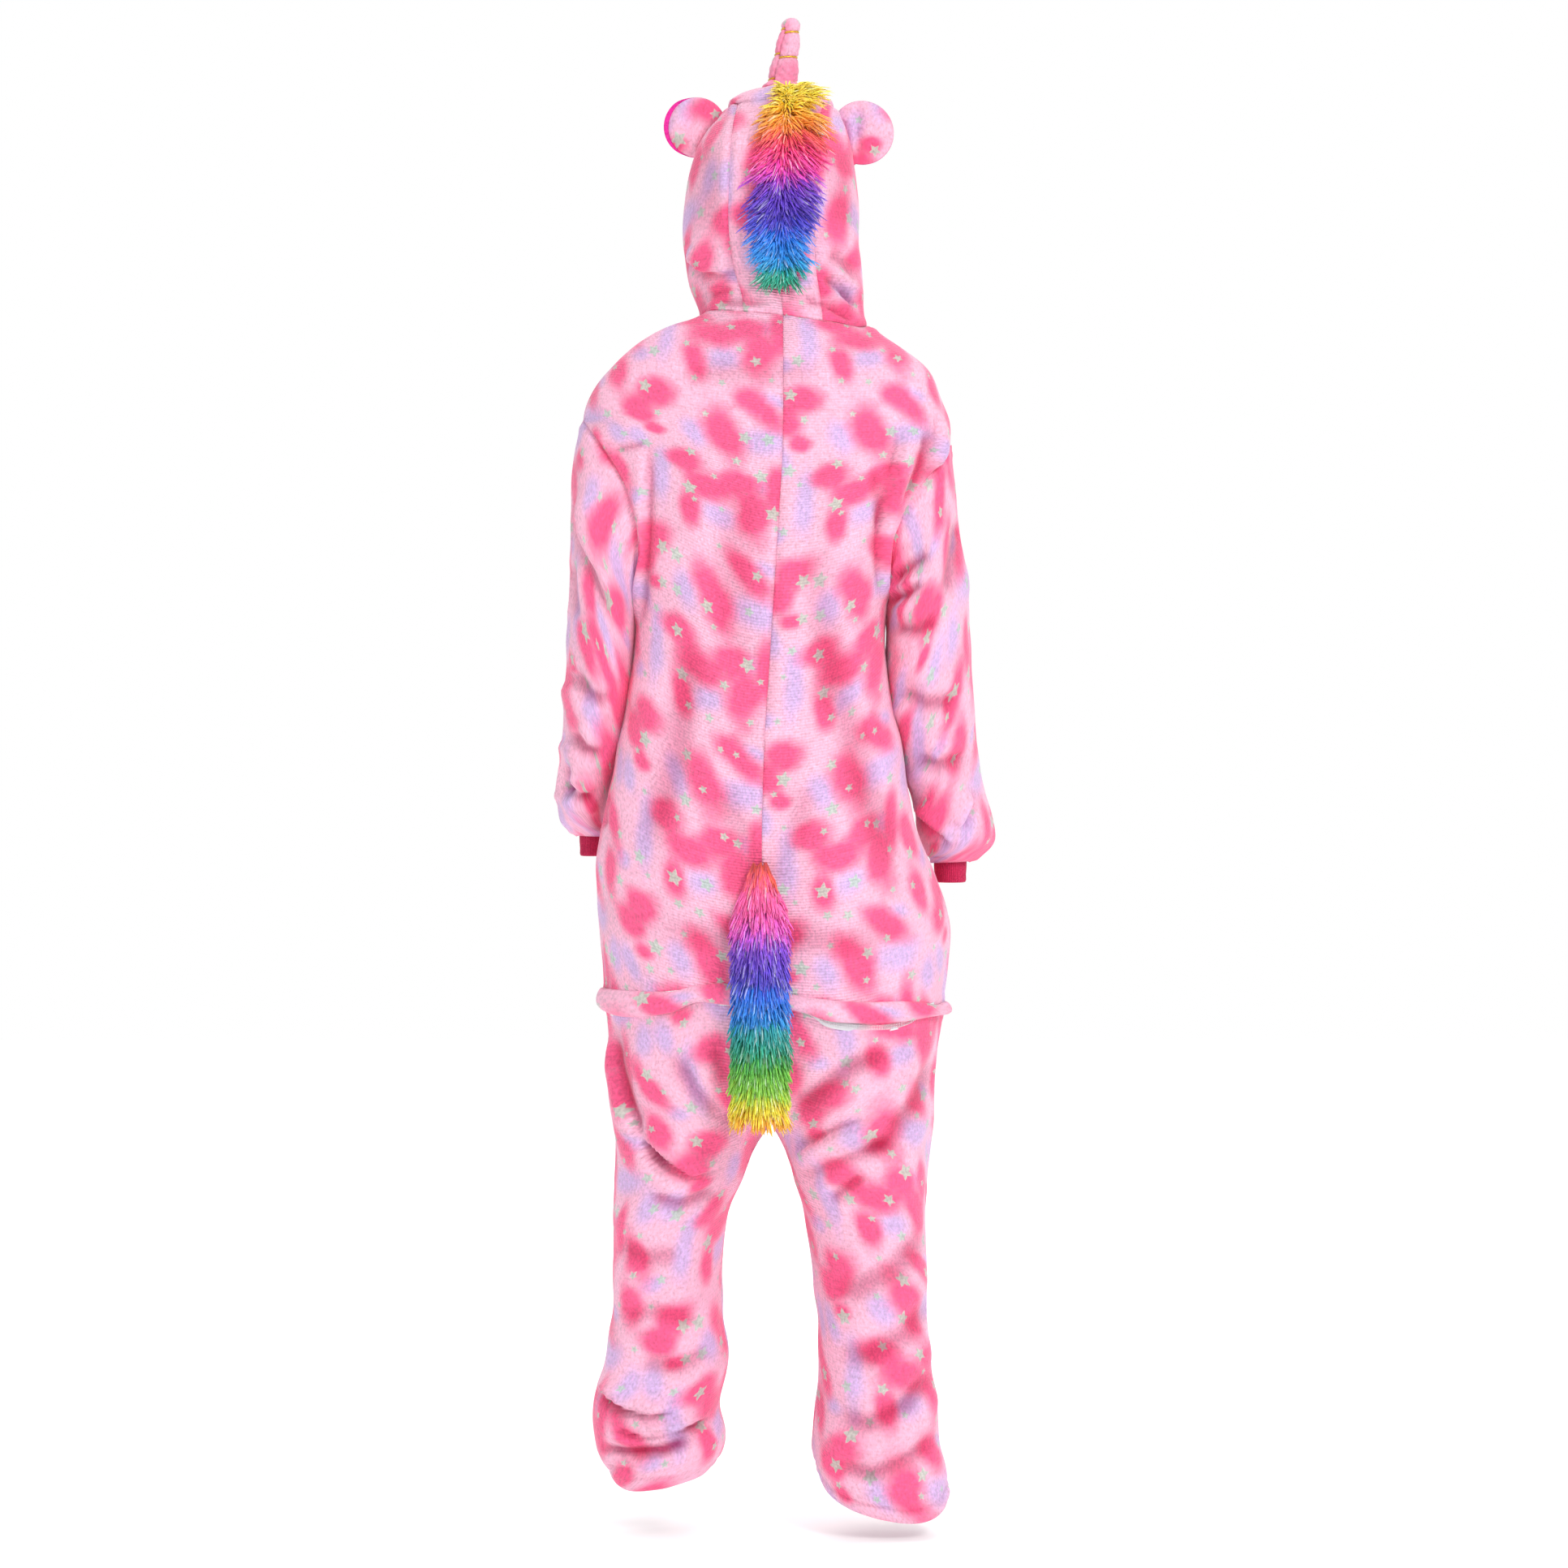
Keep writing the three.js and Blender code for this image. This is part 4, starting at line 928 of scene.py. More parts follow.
class ONESIE_PG_Fur(bpy.types.PropertyGroup):
    mane_strands: IntProperty(name="Mane strands", default=4000, min=100, description="Strands in the mane")
    tail_strands: IntProperty(name="Tail strands", default=5000, min=100, description="Strands in the tail")
    thickness: length_value("Strand", 2.5, 0.2, "Thickness of a strand at its root")
    length: length_value("Strand length", 40, 5, "Length of a strand")


# ---------- the seat welt: x, top and bottom, and how far it stands off ----------
WELT = through(
    [
        (-203, -768, -776, 10), (-196, -767, -790, 13), (-164, -767, -797, 15), (-115, -766, -790, 15),
        (-87, -759, -778, 15), (-60, -756, -780, 16), (-20, -762, -784, 16), (23, -769, -787, 15),
        (60, -775, -799, 15), (101, -778, -802, 15), (142, -778, -801, 15), (168, -781, -798, 15),
        (186, -785, -797, 14), (202, -780, -797, 11),
    ]
)


def zip_line(x):
    """The height at which the seat opening runs, under the middle of the welt."""
    top, bottom, _ = WELT(x)
    return (top + bottom) / 2


# ---------- grids of the cut pieces ----------
PANEL = 235  # about the width of a panel, from the middle to its side seam
SHOULDER = -113  # height at which the body is widest
# Heights at the middle of the panel, level with the top and the bottom of the armhole.
YOKE, CHEST = -108, -340


def upper_grid(side, behind, cell):
    """Half of the back or the front, from the neckline past the armhole to the seat zip."""
    way, start = (-1, -90) if behind else (1, 90)
    top, bottom = ARMHOLE[side][:2]
    drop, hole_length, side_length, to_zip = 104, 245, -ZIP_TOP - 330, 150
    shoulder = -drop * ramp(drop, cell)
    s = np.linspace(0, 1, round(hole_length / cell))
    hole_z, hole_angle = armhole_angle(side, -way * np.pi * s)
    q = ramp(side_length, cell)
    middle = np.concatenate([shoulder, mix(YOKE, CHEST, s), mix(CHEST, ZIP_TOP, q)[1:]])
    edge = np.concatenate([shoulder * top / SHOULDER, hole_z, mix(bottom, ZIP_TOP, q)[1:]])
    angle = np.concatenate([0 * shoulder, hole_angle, 0 * q[1:]])
    t = ramp(PANEL, cell)
    z = mix(middle[:, None], edge[:, None], smooth(t))
    turned = mix(start, angle[:, None], t)
    if behind:
        x = body(side, z, turned)[..., 0]
        z = z + smooth((ZIP_TOP + to_zip - z) / to_zip) * (zip_line(x) - ZIP_TOP)
    return body(side, z, turned), z, t


def lower_grid(side, behind, first, cell, open_top=True):
    """Half of the seat and one side of its leg; an open top has a seam, which needs finer rows."""
    way = -1 if behind else 1
    t = ramp(PANEL, cell)
    drop = first - CROTCH
    share = ramp(drop, cell)[:-3] if open_top else np.linspace(0, 1, round(drop / cell))[:-1]
    seat_z = mix(first, CROTCH, share)
    leg_z = mix(CROTCH, HEM[side], ramp(CROTCH - HEM[side], cell))[3:]
    z = seat_z[:, None] + 0 * t
    if behind:
        x = body(side, z, way * 90 * (1 - t) + 0 * z)[..., 0]
        gap, from_zip = 1.2, 70
        z = z + smooth((z - first + from_zip) / from_zip) * (zip_line(x) - gap - first)
    upper = seat(side, z, behind, t + 0 * z)
    lower = leg(side, leg_z[:, None] + 0 * t, way * 180 * (1 - t) + 0 * leg_z[:, None], behind)
    z = np.concatenate([seat_z, leg_z])
    return relax(np.concatenate([upper, lower]), z, middle=CROTCH + 6, width=42, rounds=160), z, t


def settle(p):
    """Lets the neckline seam slope behind: up to the left and down to the right."""
    rise, slope, height, depth = 4, 0.11, 34, 45
    p = p.copy()
    p[..., 2] += (rise - slope * p[..., 0]) * bell(p[..., 2], height) * smooth(-p[..., 1] / depth)
    return p


def body_axis(z):
    """The middle of the body at each height."""
    middle = BODY(np.clip(z, -930, 0))[0]
    return np.stack([middle, 0 * middle, z], -1)


def leg_axis(side, p):
    """The middle of the body, and below the crotch of the leg, beside each point."""
    z = p[..., 2]
    inner, outer, middle, _, _ = LEG[side](np.clip(z, HEM[side], CROTCH))
    share = smooth((CROTCH + 130 - z) / 130)
    x = mix(BODY(np.clip(z, -930, 0))[0], (inner + outer) / 2, share)
    return np.stack([x, middle * share, z], -1)


# Where each piece was cut from the printed cloth, as a shift of the repeat in millimetres.
CUT_FROM = {
    "back_left": (208, 120), "back_right": (40, 136), "seat_leg_left": (164, 80),
    "seat_leg_right": (210, 150), "front_left": (70, 10), "front_right": (10, 90),
    "sleeve_left_back": (20, 130), "sleeve_left_front": (30, 150), "sleeve_right_back": (166, 152),
    "sleeve_right_front": (200, 40), "hood_left": (44, 154), "hood_right": (104, 156),
    "hood_strip_left": (124, 22), "hood_strip_right": (172, 202), "placket": (12, 80),
}
TURNED = {"sleeve_left_back", "front_right"}  # pieces cut the other way up


def make_body(sizes):
    for side, word in SIDES:
        p, z, t = upper_grid(side, True, sizes.cell / MM)
        hold = smooth((1 - t) / 0.1) + 0 * z
        p = settle(p)
        name = f"back_{word}"
        obj = cloth(name, p, body_axis(z), BACK_FOLDS, "ssss", sizes, crisp=1.45, hold=hold, flat=110)
        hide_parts(f"back_{word}_upper", f"back_{word}_lower")

        p, z, t = lower_grid(side, True, ZIP_BOTTOM, sizes.cell / MM)
        hold = smooth((1 - t) / 0.08) + 0 * z[:, None]
        worn = {"crisp": 1.6, "swell": 1.2, "hold": hold, "even_at": CROTCH}
        obj = cloth(f"seat_leg_{word}", p, leg_axis(side, p), SEAT_FOLDS, "shss", sizes, **worn)
        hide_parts(f"seat_{word}", f"leg_back_{word}")

        upper, z, t = upper_grid(side, False, sizes.front_cell / MM)
        lower, _, t = lower_grid(side, False, ZIP_TOP, sizes.front_cell / MM, open_top=False)
        p = np.concatenate([upper[:-4], lower[1:]])
        inside = np.concatenate([body_axis(z[:-4]), leg_axis(side, lower[1:])])
        hold = smooth((1 - t) / 0.1) + 0 * p[..., 0]
        worn = {"crisp": 1.5, "hold": hold, "even_at": CROTCH}
        obj = cloth(f"front_{word}", p, inside, FRONT_FOLDS, "shss", sizes, **worn)
        lengths_down = (f"front_{word}_{part}" for part in ("chest", "waist", "seat"))
        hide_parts(*lengths_down, f"leg_front_{word}")


def make_sleeves(sizes):
    long, half_round = 480, 195
    station = ramp(long, sizes.cell / MM)[:, None] * SLEEVE_STATIONS
    u = ramp(half_round, sizes.cell / MM)
    station = station + 0 * u
    hold = smooth((1 - u) / 0.06) * smooth(u / 0.06) + 0 * station
    for side, word in SIDES:
        outer, inner = (sleeve(side, station, turn + 0 * station) for turn in (0, np.pi))
        inside = (outer + inner) / 2
        inside[..., 1] = SLEEVE[side](station)[5]
        for way, half in ((1, "back"), (-1, "front")):
            name = f"sleeve_{word}_{half}"
            p = sleeve(side, station, way * np.pi * u + 0 * station)
            obj = cloth(name, p, inside, SLEEVE_FOLDS, "ssss", sizes, crisp=1.9, swell=1.1, hold=hold)
            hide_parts(name)


NECK_TUCK = 1.8  # how far the hood's lowest row is drawn down to the neckline


def hood_cloth(name, p, inside, edges, sizes, flat=60):
    """A piece of the hood, on the settled neckline, with its folds behind."""
    hold = smooth((20 - p[..., 1]) / 60)
    p = settle(p)
    p[0, :, 2] -= NECK_TUCK
    obj = cloth(
        name, p, inside, HOOD_FOLDS, edges, sizes, crisp=1.9, swell=0.8, hold=hold, seed=9, flat=flat
    )
    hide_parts(name)


def upright(side, z, t, way):
    """The strip's rows behind, where way is -1, or on the forehead, where it is 1."""
    edge = way * hood_angle(side, z, strip_half(z))
    return hood(side, z[:, None] + 0 * t, mix(way * 90, edge[:, None], t))


def over_crown(side, t, cell):
    """The strip's rows over the crown, between its back and its forehead."""
    z_top = np.array([STRIP_TOP])
    ends = hood_angle(side, z_top, np.array([STRIP_HALF]))[0]
    q = np.linspace(0, 1, round(190 / cell))[1:-1, None]
    seam = hood(side, STRIP_TOP + 0 * q[:, 0], mix(-ends, ends, q[:, 0]))[:, None, :]
    middle, _, _, back, front = HOOD(z_top)
    y = mix(back, front, (1 - np.cos(np.pi * q)) / 2)
    height = STRIP_TOP + HOOD_LIFT + (CROWN - STRIP_TOP) * np.sin(np.pi * q)
    s, c = np.sin(np.pi / 2 * t), np.cos(np.pi / 2 * t)
    return np.stack([mix(middle, seam[..., 0], s), mix(seam[..., 1], y, c), mix(seam[..., 2], height, c)], -1)


def make_hood(sizes):
    cell = sizes.cell / MM
    low = ramp(BROW, cell) * BROW
    side_z = np.concatenate([low[:-3], mix(BROW, STRIP_TOP, ramp(35, cell))[2:]])
    up = np.concatenate([ramp(STRIP_TOP, cell)[:-3] * STRIP_TOP, [STRIP_TOP - 1.5]])
    down = mix(STRIP_TOP, BROW, ramp(STRIP_TOP - BROW, cell)[2:])
    for side, word in SIDES:
        t = ramp(230, cell)
        start = -hood_angle(side, side_z, strip_half(side_z))
        stop = hood_angle(side, side_z, np.where(side_z < BROW, FACE(side_z)[0], strip_half(side_z)))
        p = hood(side, side_z[:, None] + 0 * t, mix(start[:, None], stop[:, None], t))
        middle = HOOD(side_z[:, None] + 0 * t)[0]
        inside = np.stack([middle, 0 * middle, p[..., 2]], -1)
        hood_cloth(f"hood_{word}", p, inside, "sssh", sizes)

        t = ramp(55, cell)
        p = np.concatenate([upright(side, up, t, -1), over_crown(side, t, cell), upright(side, down, t, 1)])
        inside = np.stack([0 * p[..., 0] + 2, 0 * p[..., 0], np.minimum(p[..., 2], 205)], -1)
        hood_cloth(f"hood_strip_{word}", p, inside, "shss", sizes, flat=40)


# ---------- ears ----------
# Low and high end of the foot on the hood, middle x and z, and radius.
EARS = {LEFT: (196, 247, -92, 233, 35), RIGHT: (188, 246, 101, 227, 37)}


EAR_WALL = 2.0
EAR_IN_HOOD = 1.6


def ear_rim(side):
    """The ear's outline on the plane of its seam: its foot along the hood, then its round."""
    low, high, x, z, r = EARS[side]
    base = hood(side, np.linspace(high, low, 24), np.zeros(24))
    base[:, 0] -= side * EAR_IN_HOOD
    start = math.atan2(base[-1, 2] - z, base[-1, 0] - x)
    turn = math.atan2(base[0, 2] - z, base[0, 0] - x) - start
    if side * turn < 0:
        turn += side * 2 * math.pi
    a = np.linspace(start, start + turn, 60)[1:-1]
    rim = np.concatenate([base, np.stack([x + r * np.cos(a), 0 * a, z + r * np.sin(a)], -1)])
    rim[:, 1] = 0
    return rim, base[:, 0].mean()


def ear_faces(rings, count):
    """Faces of a shell of two discs, each of rings round a hub that is its last point, joined at the rim."""
    layer = (rings - 1) * count + 1
    hub, last = layer - 1, rings - 1

    def at(i, j):
        return (i - 1) * count + j % count

    faces = []
    for j in range(count):
        faces.append((hub, at(1, j), at(1, j + 1)))
        faces.append((layer + hub, layer + at(1, j + 1), layer + at(1, j)))
        for i in range(1, last):
            square = (at(i, j), at(i + 1, j), at(i + 1, j + 1), at(i, j + 1))
            faces.append(square)
            faces.append(tuple(layer + k for k in (square[3], square[2], square[1], square[0])))
        faces.append((at(last, j), layer + at(last, j), layer + at(last, j + 1), at(last, j + 1)))
    return faces


def make_ears():
    """Two stitched rounds an ear, the printed one behind and the magenta one in front, cupped forwards."""
    rings = np.concatenate([np.linspace(0, 0.9, 14), [0.94, 0.97, 0.99, 1.0]])
    ring = rings[:, None]
    for side, word in SIDES:
        rim, foot_x = ear_rim(side)
        middle = rim.mean(axis=0)
        x = EARS[side][2]
        for piece, face, material, slot in (
            ("ear_back", -1, "fleece", "fleece"),
            ("ear_lining", 1, "magenta", "magenta_plush"),
        ):
            p = middle + rings[:, None, None] * (rim - middle)
            outer = np.clip((p[..., 0] - foot_x) * side / 62, 0, 1)
            crown = np.sqrt(np.clip(1 - ring**2.6, 0, 1)) * (9.5 if face < 0 else 3.0)
            dent = 1.0 if face > 0 else 4.5 * bell(p[..., 0] - x + 6, 6) * (1 - ring**4)
            p[..., 1] = 10 + face * crown + 5.5 * ring**3 * (0.35 + outer) + dent
            if side == LEFT and face > 0:
                # The left ear is turned so that the edge of its lining shows behind.
                proud = smooth((ring - 0.9) / 0.1) * smooth((outer - 0.25) / 0.35)
                p += proud[..., None] * np.array([-3.2, -2.4, 0.8])
            elif side == LEFT:
                p[..., 0] += 3.4 * smooth((ring - 0.5) / 0.5) * outer**2
            inner = p.copy()
            inner[..., 1] -= face * EAR_WALL
            shell = np.concatenate([p[1:].reshape(-1, 3), p[:1, 0], inner[1:].reshape(-1, 3), inner[:1, 0]])
            name = f"{piece}_{word}"
            obj = make_mesh(name, shell, ear_faces(len(rings), len(rim)), [MATERIALS[material]])
            face_out(obj)
            u, v = shell[:, 0] + 400, shell[:, 2] + 300
            set_cut(obj.data, u, v)
            dye(obj.data, u, v)
            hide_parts(name)


def face_out(obj):
    """Turns a closed mesh's faces outwards, from the sign of its volume."""
    mesh = obj.data
    mesh.calc_loop_triangles()
    corners = np.array([[mesh.vertices[i].co[:] for i in tri.vertices] for tri in mesh.loop_triangles])
    volume = np.sum(np.cross(corners[:, 0], corners[:, 1]) * corners[:, 2]) / 6
    if volume < 0:
        mesh.flip_normals()


# ---------- horn ----------
HORN_SURFACE = 90  # its length along the surface
RING_FIRST, RING_STEP, RING_CLIMB = 7, 31.5, 6  # the thread's first turn, from turn to turn, and its rise
HORN_SEAM = 4.05  # angle of the horn's seam, in radians


def make_horn(sizes):
    """A stuffed cone of the printed fleece, drawn in by a wound gold thread and by its one seam."""
    foot, tip = CROWN + 1.5, 360.0
    rows, around = 150, 72
    t = np.linspace(0, 1, rows)[:, None]
    a = np.linspace(0, 2 * np.pi, around, endpoint=False)[None, :]
    lean_x = mix(7.5, 19.0, smooth(t * 0.9) * 0.6 + 0.4 * t)
    lean_y = mix(14.0, 10.0, t)
    taper = mix(19.5, 10.2, t**0.85)
    flare = 4.5 * bell(t - 0.045, 0.05)
    # The thread climbs a little in each turn from the horn's seam; the phase is zero along its path.
    round_horn = ((a - HORN_SEAM) % (2 * np.pi)) / (2 * np.pi)
    phase = (t * HORN_SURFACE - RING_FIRST - RING_CLIMB * round_horn) / RING_STEP
    nearest = np.abs(phase - np.round(phase)) * RING_STEP
    held = smooth((t - 0.06) / 0.05) * smooth((0.94 - t) / 0.03)
    dent = 2.0 * bell(nearest, 2.2) * held
    puff = -0.7 * np.cos(2 * np.pi * phase) * held
    swing = np.angle(np.exp(1j * (a - HORN_SEAM)))
    crease = 3.0 * bell(swing * taper, 1.8) * smooth(t / 0.08) * smooth((0.93 - t) / 0.2)
    wrinkle = 0.35 * np.sin(a * 9 + 6 * t * 9) * held
    cap = np.sqrt(np.clip(1 - ((t - 0.9) / 0.1).clip(0, 1) ** 2, 0, 1))
    r = (taper + flare - dent + puff - crease + wrinkle) * cap + 0.01
    p = np.stack([lean_x + r * np.cos(a), lean_y + r * np.sin(a), foot + (tip - foot) * t + 0 * a], -1)
    obj = make_mesh("horn", p.reshape(-1, 3), skin(rows, around), [MATERIALS["fleece"]])
    face_out(obj)
    u, v = (a * 16 + 0 * t + 44).ravel(), (t * 85 + 0 * a + 150).ravel()
    set_cut(obj.data, u, v)
    set_values(obj.data, "pink", 0.5 * spots(u, v, PINK_SPOTS, HORN_SOFTNESS))
    set_values(obj.data, "lilac", 0 * u)
    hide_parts("horn")

    # The thread's turns lie in the dents, and dip with the seam.
    share = np.linspace(0, 1, 72)
    theta = HORN_SEAM + 2 * np.pi * share
    points, faces = [], []
    for k in range(3):
        level = (RING_FIRST + RING_STEP * k + RING_CLIMB * share) / HORN_SURFACE
        i = np.round(level * (rows - 1)).astype(int)
        from_seam = np.minimum(share, 1 - share) * 2 * np.pi * taper[i, 0]
        radius = taper[i, 0] - 1.7 - 2.6 * bell(from_seam, 1.8)
        x, y = lean_x[i, 0] + radius * np.cos(theta), lean_y[i, 0] + radius * np.sin(theta)
        line = np.stack([x, y, foot + (tip - foot) * level], -1)
        turn_points, turn_faces = tube(line, sizes.thread / MM / 2, 8)
        faces += [tuple(len(points) + corner for corner in face) for face in turn_faces]
        points += turn_points
    make_mesh("horn_thread", points, faces, [MATERIALS["gold"]])


def tube(line, radius, around):
    """A closed round tube along a line of points; radius may be one number or one for each point."""
    line = np.asarray(line, float)
    radius = np.broadcast_to(radius, len(line))
    ahead = np.gradient(line, axis=0)
    ahead /= np.linalg.norm(ahead, axis=1, keepdims=True)
    side = np.cross(ahead, (0.1, 0.2, 1.0))
    side /= np.linalg.norm(side, axis=1, keepdims=True)
    up = np.cross(side, ahead)
    a = np.linspace(0, 2 * np.pi, around, endpoint=False)[None, :, None]
    rings = line[:, None] + radius[:, None, None] * (side[:, None] * np.cos(a) + up[:, None] * np.sin(a))
    return rings.reshape(-1, 3).tolist(), skin(len(line), around, turned=True)


# ---------- fur ----------
def ramp_color(z, stops):
    """The dye at each height, from rows of a height and a colour."""
    levels = [s[0] for s in stops]
    colors = np.array([srgb(s[1]) for s in stops])
    return np.stack([np.interp(z, levels, colors[:, i]) for i in range(3)], -1)


MANE_DYES = [
    (36, "#1FA37C"), (52, "#14B09A"), (62, "#14A0E4"), (92, "#2280F4"), (102, "#4A4AD6"),
    (112, "#4A2FC0"), (138, "#6E34C8"), (150, "#A23ED0"), (158, "#E23CC0"), (172, "#FF3C9C"),
    (190, "#FF4070"), (202, "#FF6450"), (212, "#FF8E30"), (230, "#FFAA20"), (242, "#FFCC20"),
    (275, "#FFE24A"),
]
TAIL_DYES = [
    (-930, "#FF9A28"), (-908, "#FFB424"), (-896, "#FFE02C"), (-886, "#E8E232"), (-876, "#96D23E"),
    (-846, "#5CBC40"), (-836, "#2AA45C"), (-824, "#14A68C"), (-804, "#16A8AE"), (-796, "#1494E2"),
    (-766, "#2478EC"), (-756, "#4C46CC"), (-730, "#6C3CCE"), (-712, "#8E48D8"), (-700, "#E058D0"),
    (-678, "#FF64B4"), (-656, "#FF5AA0"), (-640, "#FF6048"), (-620, "#FF5C30"),
]


def strands(name, roots, ways, bends, lengths_mm, thickness, dyes, seed):
    """One mesh of tapered three-sided strands; each leaves its root along ways and ends along bends."""
    rng = np.random.default_rng(seed)
    count = len(roots)
    steps = np.array([0.0, 0.3, 0.62, 0.9, 1.0])
    widths = np.array([0.4, 0.5, 0.46, 0.3, 0.06]) * thickness
    wave = rng.normal(0, 0.05, (count, 1, 3)) * np.sin(steps * 5 + 1)[None, :, None]
    s = steps[None, :, None]
    course = ways[:, None] * (s - s**2 / 2) + bends[:, None] * s**2 / 2 + wave * s
    line = roots[:, None] + lengths_mm[:, None, None] * course
    side = np.cross(ways, rng.normal(size=(count, 3)))
    side /= np.linalg.norm(side, axis=1, keepdims=True)
    up = np.cross(side, ways)
    up /= np.linalg.norm(up, axis=1, keepdims=True)
    a = np.array([0, 2.094, 4.189])[None, None, :, None]
    ring = side[:, None, None] * np.cos(a) + up[:, None, None] * np.sin(a)
    breadth = rng.uniform(0.7, 1.25, (count, 1, 1, 1))
    points = (line[:, :, None] + ring * widths[None, :, None, None] * breadth).reshape(-1, 3)
    one = [
        (3 * i + j, 3 * i + (j + 1) % 3, 3 * i + 3 + (j + 1) % 3, 3 * i + 3 + j)
        for i in range(len(steps) - 1)
        for j in range(3)
    ]
    whole = 3 * len(steps)
    first = (np.arange(count) * whole)[:, None, None]
    ends = [(2, 1, 0), (whole - 3, whole - 2, whole - 1)]
    faces = (np.array(one)[None] + first).reshape(-1, 4).tolist()
    faces += (np.array(ends)[None] + first).reshape(-1, 3).tolist()
    obj = make_mesh(name, points, faces, [MATERIALS["tinsel"]])
    color = ramp_color(line[:, 2, 2] + rng.normal(0, 2.5, count), dyes) * rng.uniform(0.8, 1.25, (count, 1))
    # Painted highlight: about one strand in eight, and each tip a little, is lightened towards white; painted
    # shade darkens each strand towards its root.
    pale = (rng.uniform(size=(count, 1)) < 0.12) * rng.uniform(0.15, 0.4, (count, 1))
    along = steps[None, :, None]
    dye_with_painted_light = mix(color[:, None, :], 1.0, 0.05 * along**2 + pale[:, None] * along)
    dye_with_painted_light = np.clip(dye_with_painted_light * (0.6 + 0.45 * np.clip(along * 2.2, 0, 1)), 0, 1)
    dye_yarn(obj, np.repeat(dye_with_painted_light[:, :, None], 3, 2).reshape(-1, 3))
    return obj


def dye_yarn(obj, colors):
    """Gives each point of a yarn its colour."""
    rgba = np.concatenate([colors, np.ones((len(colors), 1))], 1)
    layer = obj.data.color_attributes.new("dye", "FLOAT_COLOR", "POINT")
    layer.data.foreach_set("color", rgba.astype(np.float32).ravel())


def unit(v):
    return v / np.maximum(np.linalg.norm(v, axis=-1, keepdims=True), 1e-9)


# Height of the mane's middle, its left and right edges, and how far it stands off the hood.
MANE_PATH = through(
    [
        (40, -8, 30, 16), (54, -19, 38, 22), (75, -26, 41, 25), (100, -33, 43, 27), (125, -34, 49, 28),
        (150, -34, 52, 28), (175, -27, 57, 27), (200, -20, 66, 27), (225, -17, 70, 26), (250, -6, 68, 24),
        (268, 2, 54, 18),
    ]
)
MANE_SEAM = through([(40, 8), (100, 6), (160, 8), (220, 12), (268, 16)])


def hood_back(z, x):
    """The hood's back at a height and an x, going over the crown above the strip's top."""
    low = np.minimum(z, STRIP_TOP)
    middle, left, right, back, front = HOOD(low)
    half = np.where(x < middle, left, right)
    share = np.clip(np.abs(x - middle) / half, 0, 0.98)
    y = (back + front) / 2 - (front - back) / 2 * (1 - share**HOOD_SQUARENESS) ** (1 / HOOD_SQUARENESS)
    climb = np.clip((z - STRIP_TOP) / (CROWN - STRIP_TOP), 0, 0.999)
    return np.where(z > STRIP_TOP, mix(back, front, (1 - np.cos(np.arcsin(climb))) / 2), y)


MANE_TUFT, TAIL_TUFT = 8, 6  # strands that keep together
STRAND = 40  # the length that the strands' shape is drawn for


def make_mane(fur):
    """Tufts rooted in the strip's seam, fanned out to the mane's edges and fuller towards the crown."""
    rng = np.random.default_rng(21)
    n = fur.mane_strands
    z = 47 + (CROWN - 52) * rng.uniform(0, 1, n)
    tuft = np.repeat(rng.uniform(-1, 1, n // MANE_TUFT + 1), MANE_TUFT)[:n]
    fan = np.clip(tuft + rng.normal(0, 0.08, n), -1.1, 1.1)
    z = np.repeat(z[::MANE_TUFT], MANE_TUFT)[:n] + rng.normal(0, 2.5, n)
    z = np.clip(z, 45, CROWN - 13)
    left, right, stand = MANE_PATH(z)
    (seam_x,) = MANE_SEAM(z)
    reach = 0.86 * np.where(fan < 0, seam_x - left, right - seam_x)
    root_x = seam_x + fan * 0.3 * reach
    clear = 2.0 + 4.4 * bell(z - 230, 26)  # off the hood, where it turns over the crown most of all
    roots = np.stack([root_x, hood_back(z, root_x) - clear, z + HOOD_LIFT], -1)
    top = smooth((z - 205) / 60)
    low = smooth((80 - z) / 35)
    over = np.stack([0 * z, -np.cos(top * 1.1), np.sin(top * 1.1)], -1)
    swing = fan * mix(1.25, 0.75, low) + 0.5 * top
    plane = np.stack([np.sin(swing), 0 * z, -np.cos(swing) * mix(0.85, 0.25, top)], -1)
    lift = rng.uniform(0.3, 1.25, n)
    ways = unit(over * np.sin(lift)[:, None] * 1.15 + plane * np.cos(lift)[:, None])
    fall = np.stack([np.sin(swing), 0 * z + 0.12, -0.75 - 0.2 * np.abs(fan) + 0.55 * top], -1)
    bends = unit(fall + 0.2 * rng.normal(size=(n, 3)))
    long = (0.72 * np.abs(fan) * reach + stand * 0.62 + 8) * rng.uniform(0.72, 1.05, n)
    long = long * (1 - 0.26 * top) * fur.length / MM / STRAND
    obj = strands("mane", roots, ways, bends, long, fur.thickness / MM, MANE_DYES, 22)
    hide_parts("mane")


TAIL_X, TAIL_BACK = -17, 131
# Height of the tail, its half-width, reach backwards, and how far it stands off the body.
TAIL_PATH = through(
    [
        (-930, 32, 30, 14), (-905, 37, 40, 13), (-860, 37, 42, 12), (-800, 36, 42, 12), (-745, 36, 42, 12),
        (-700, 38, 38, 8), (-672, 32, 32, 5), (-645, 19, 22, 4), (-618, 4, 8, 3),
    ]
)


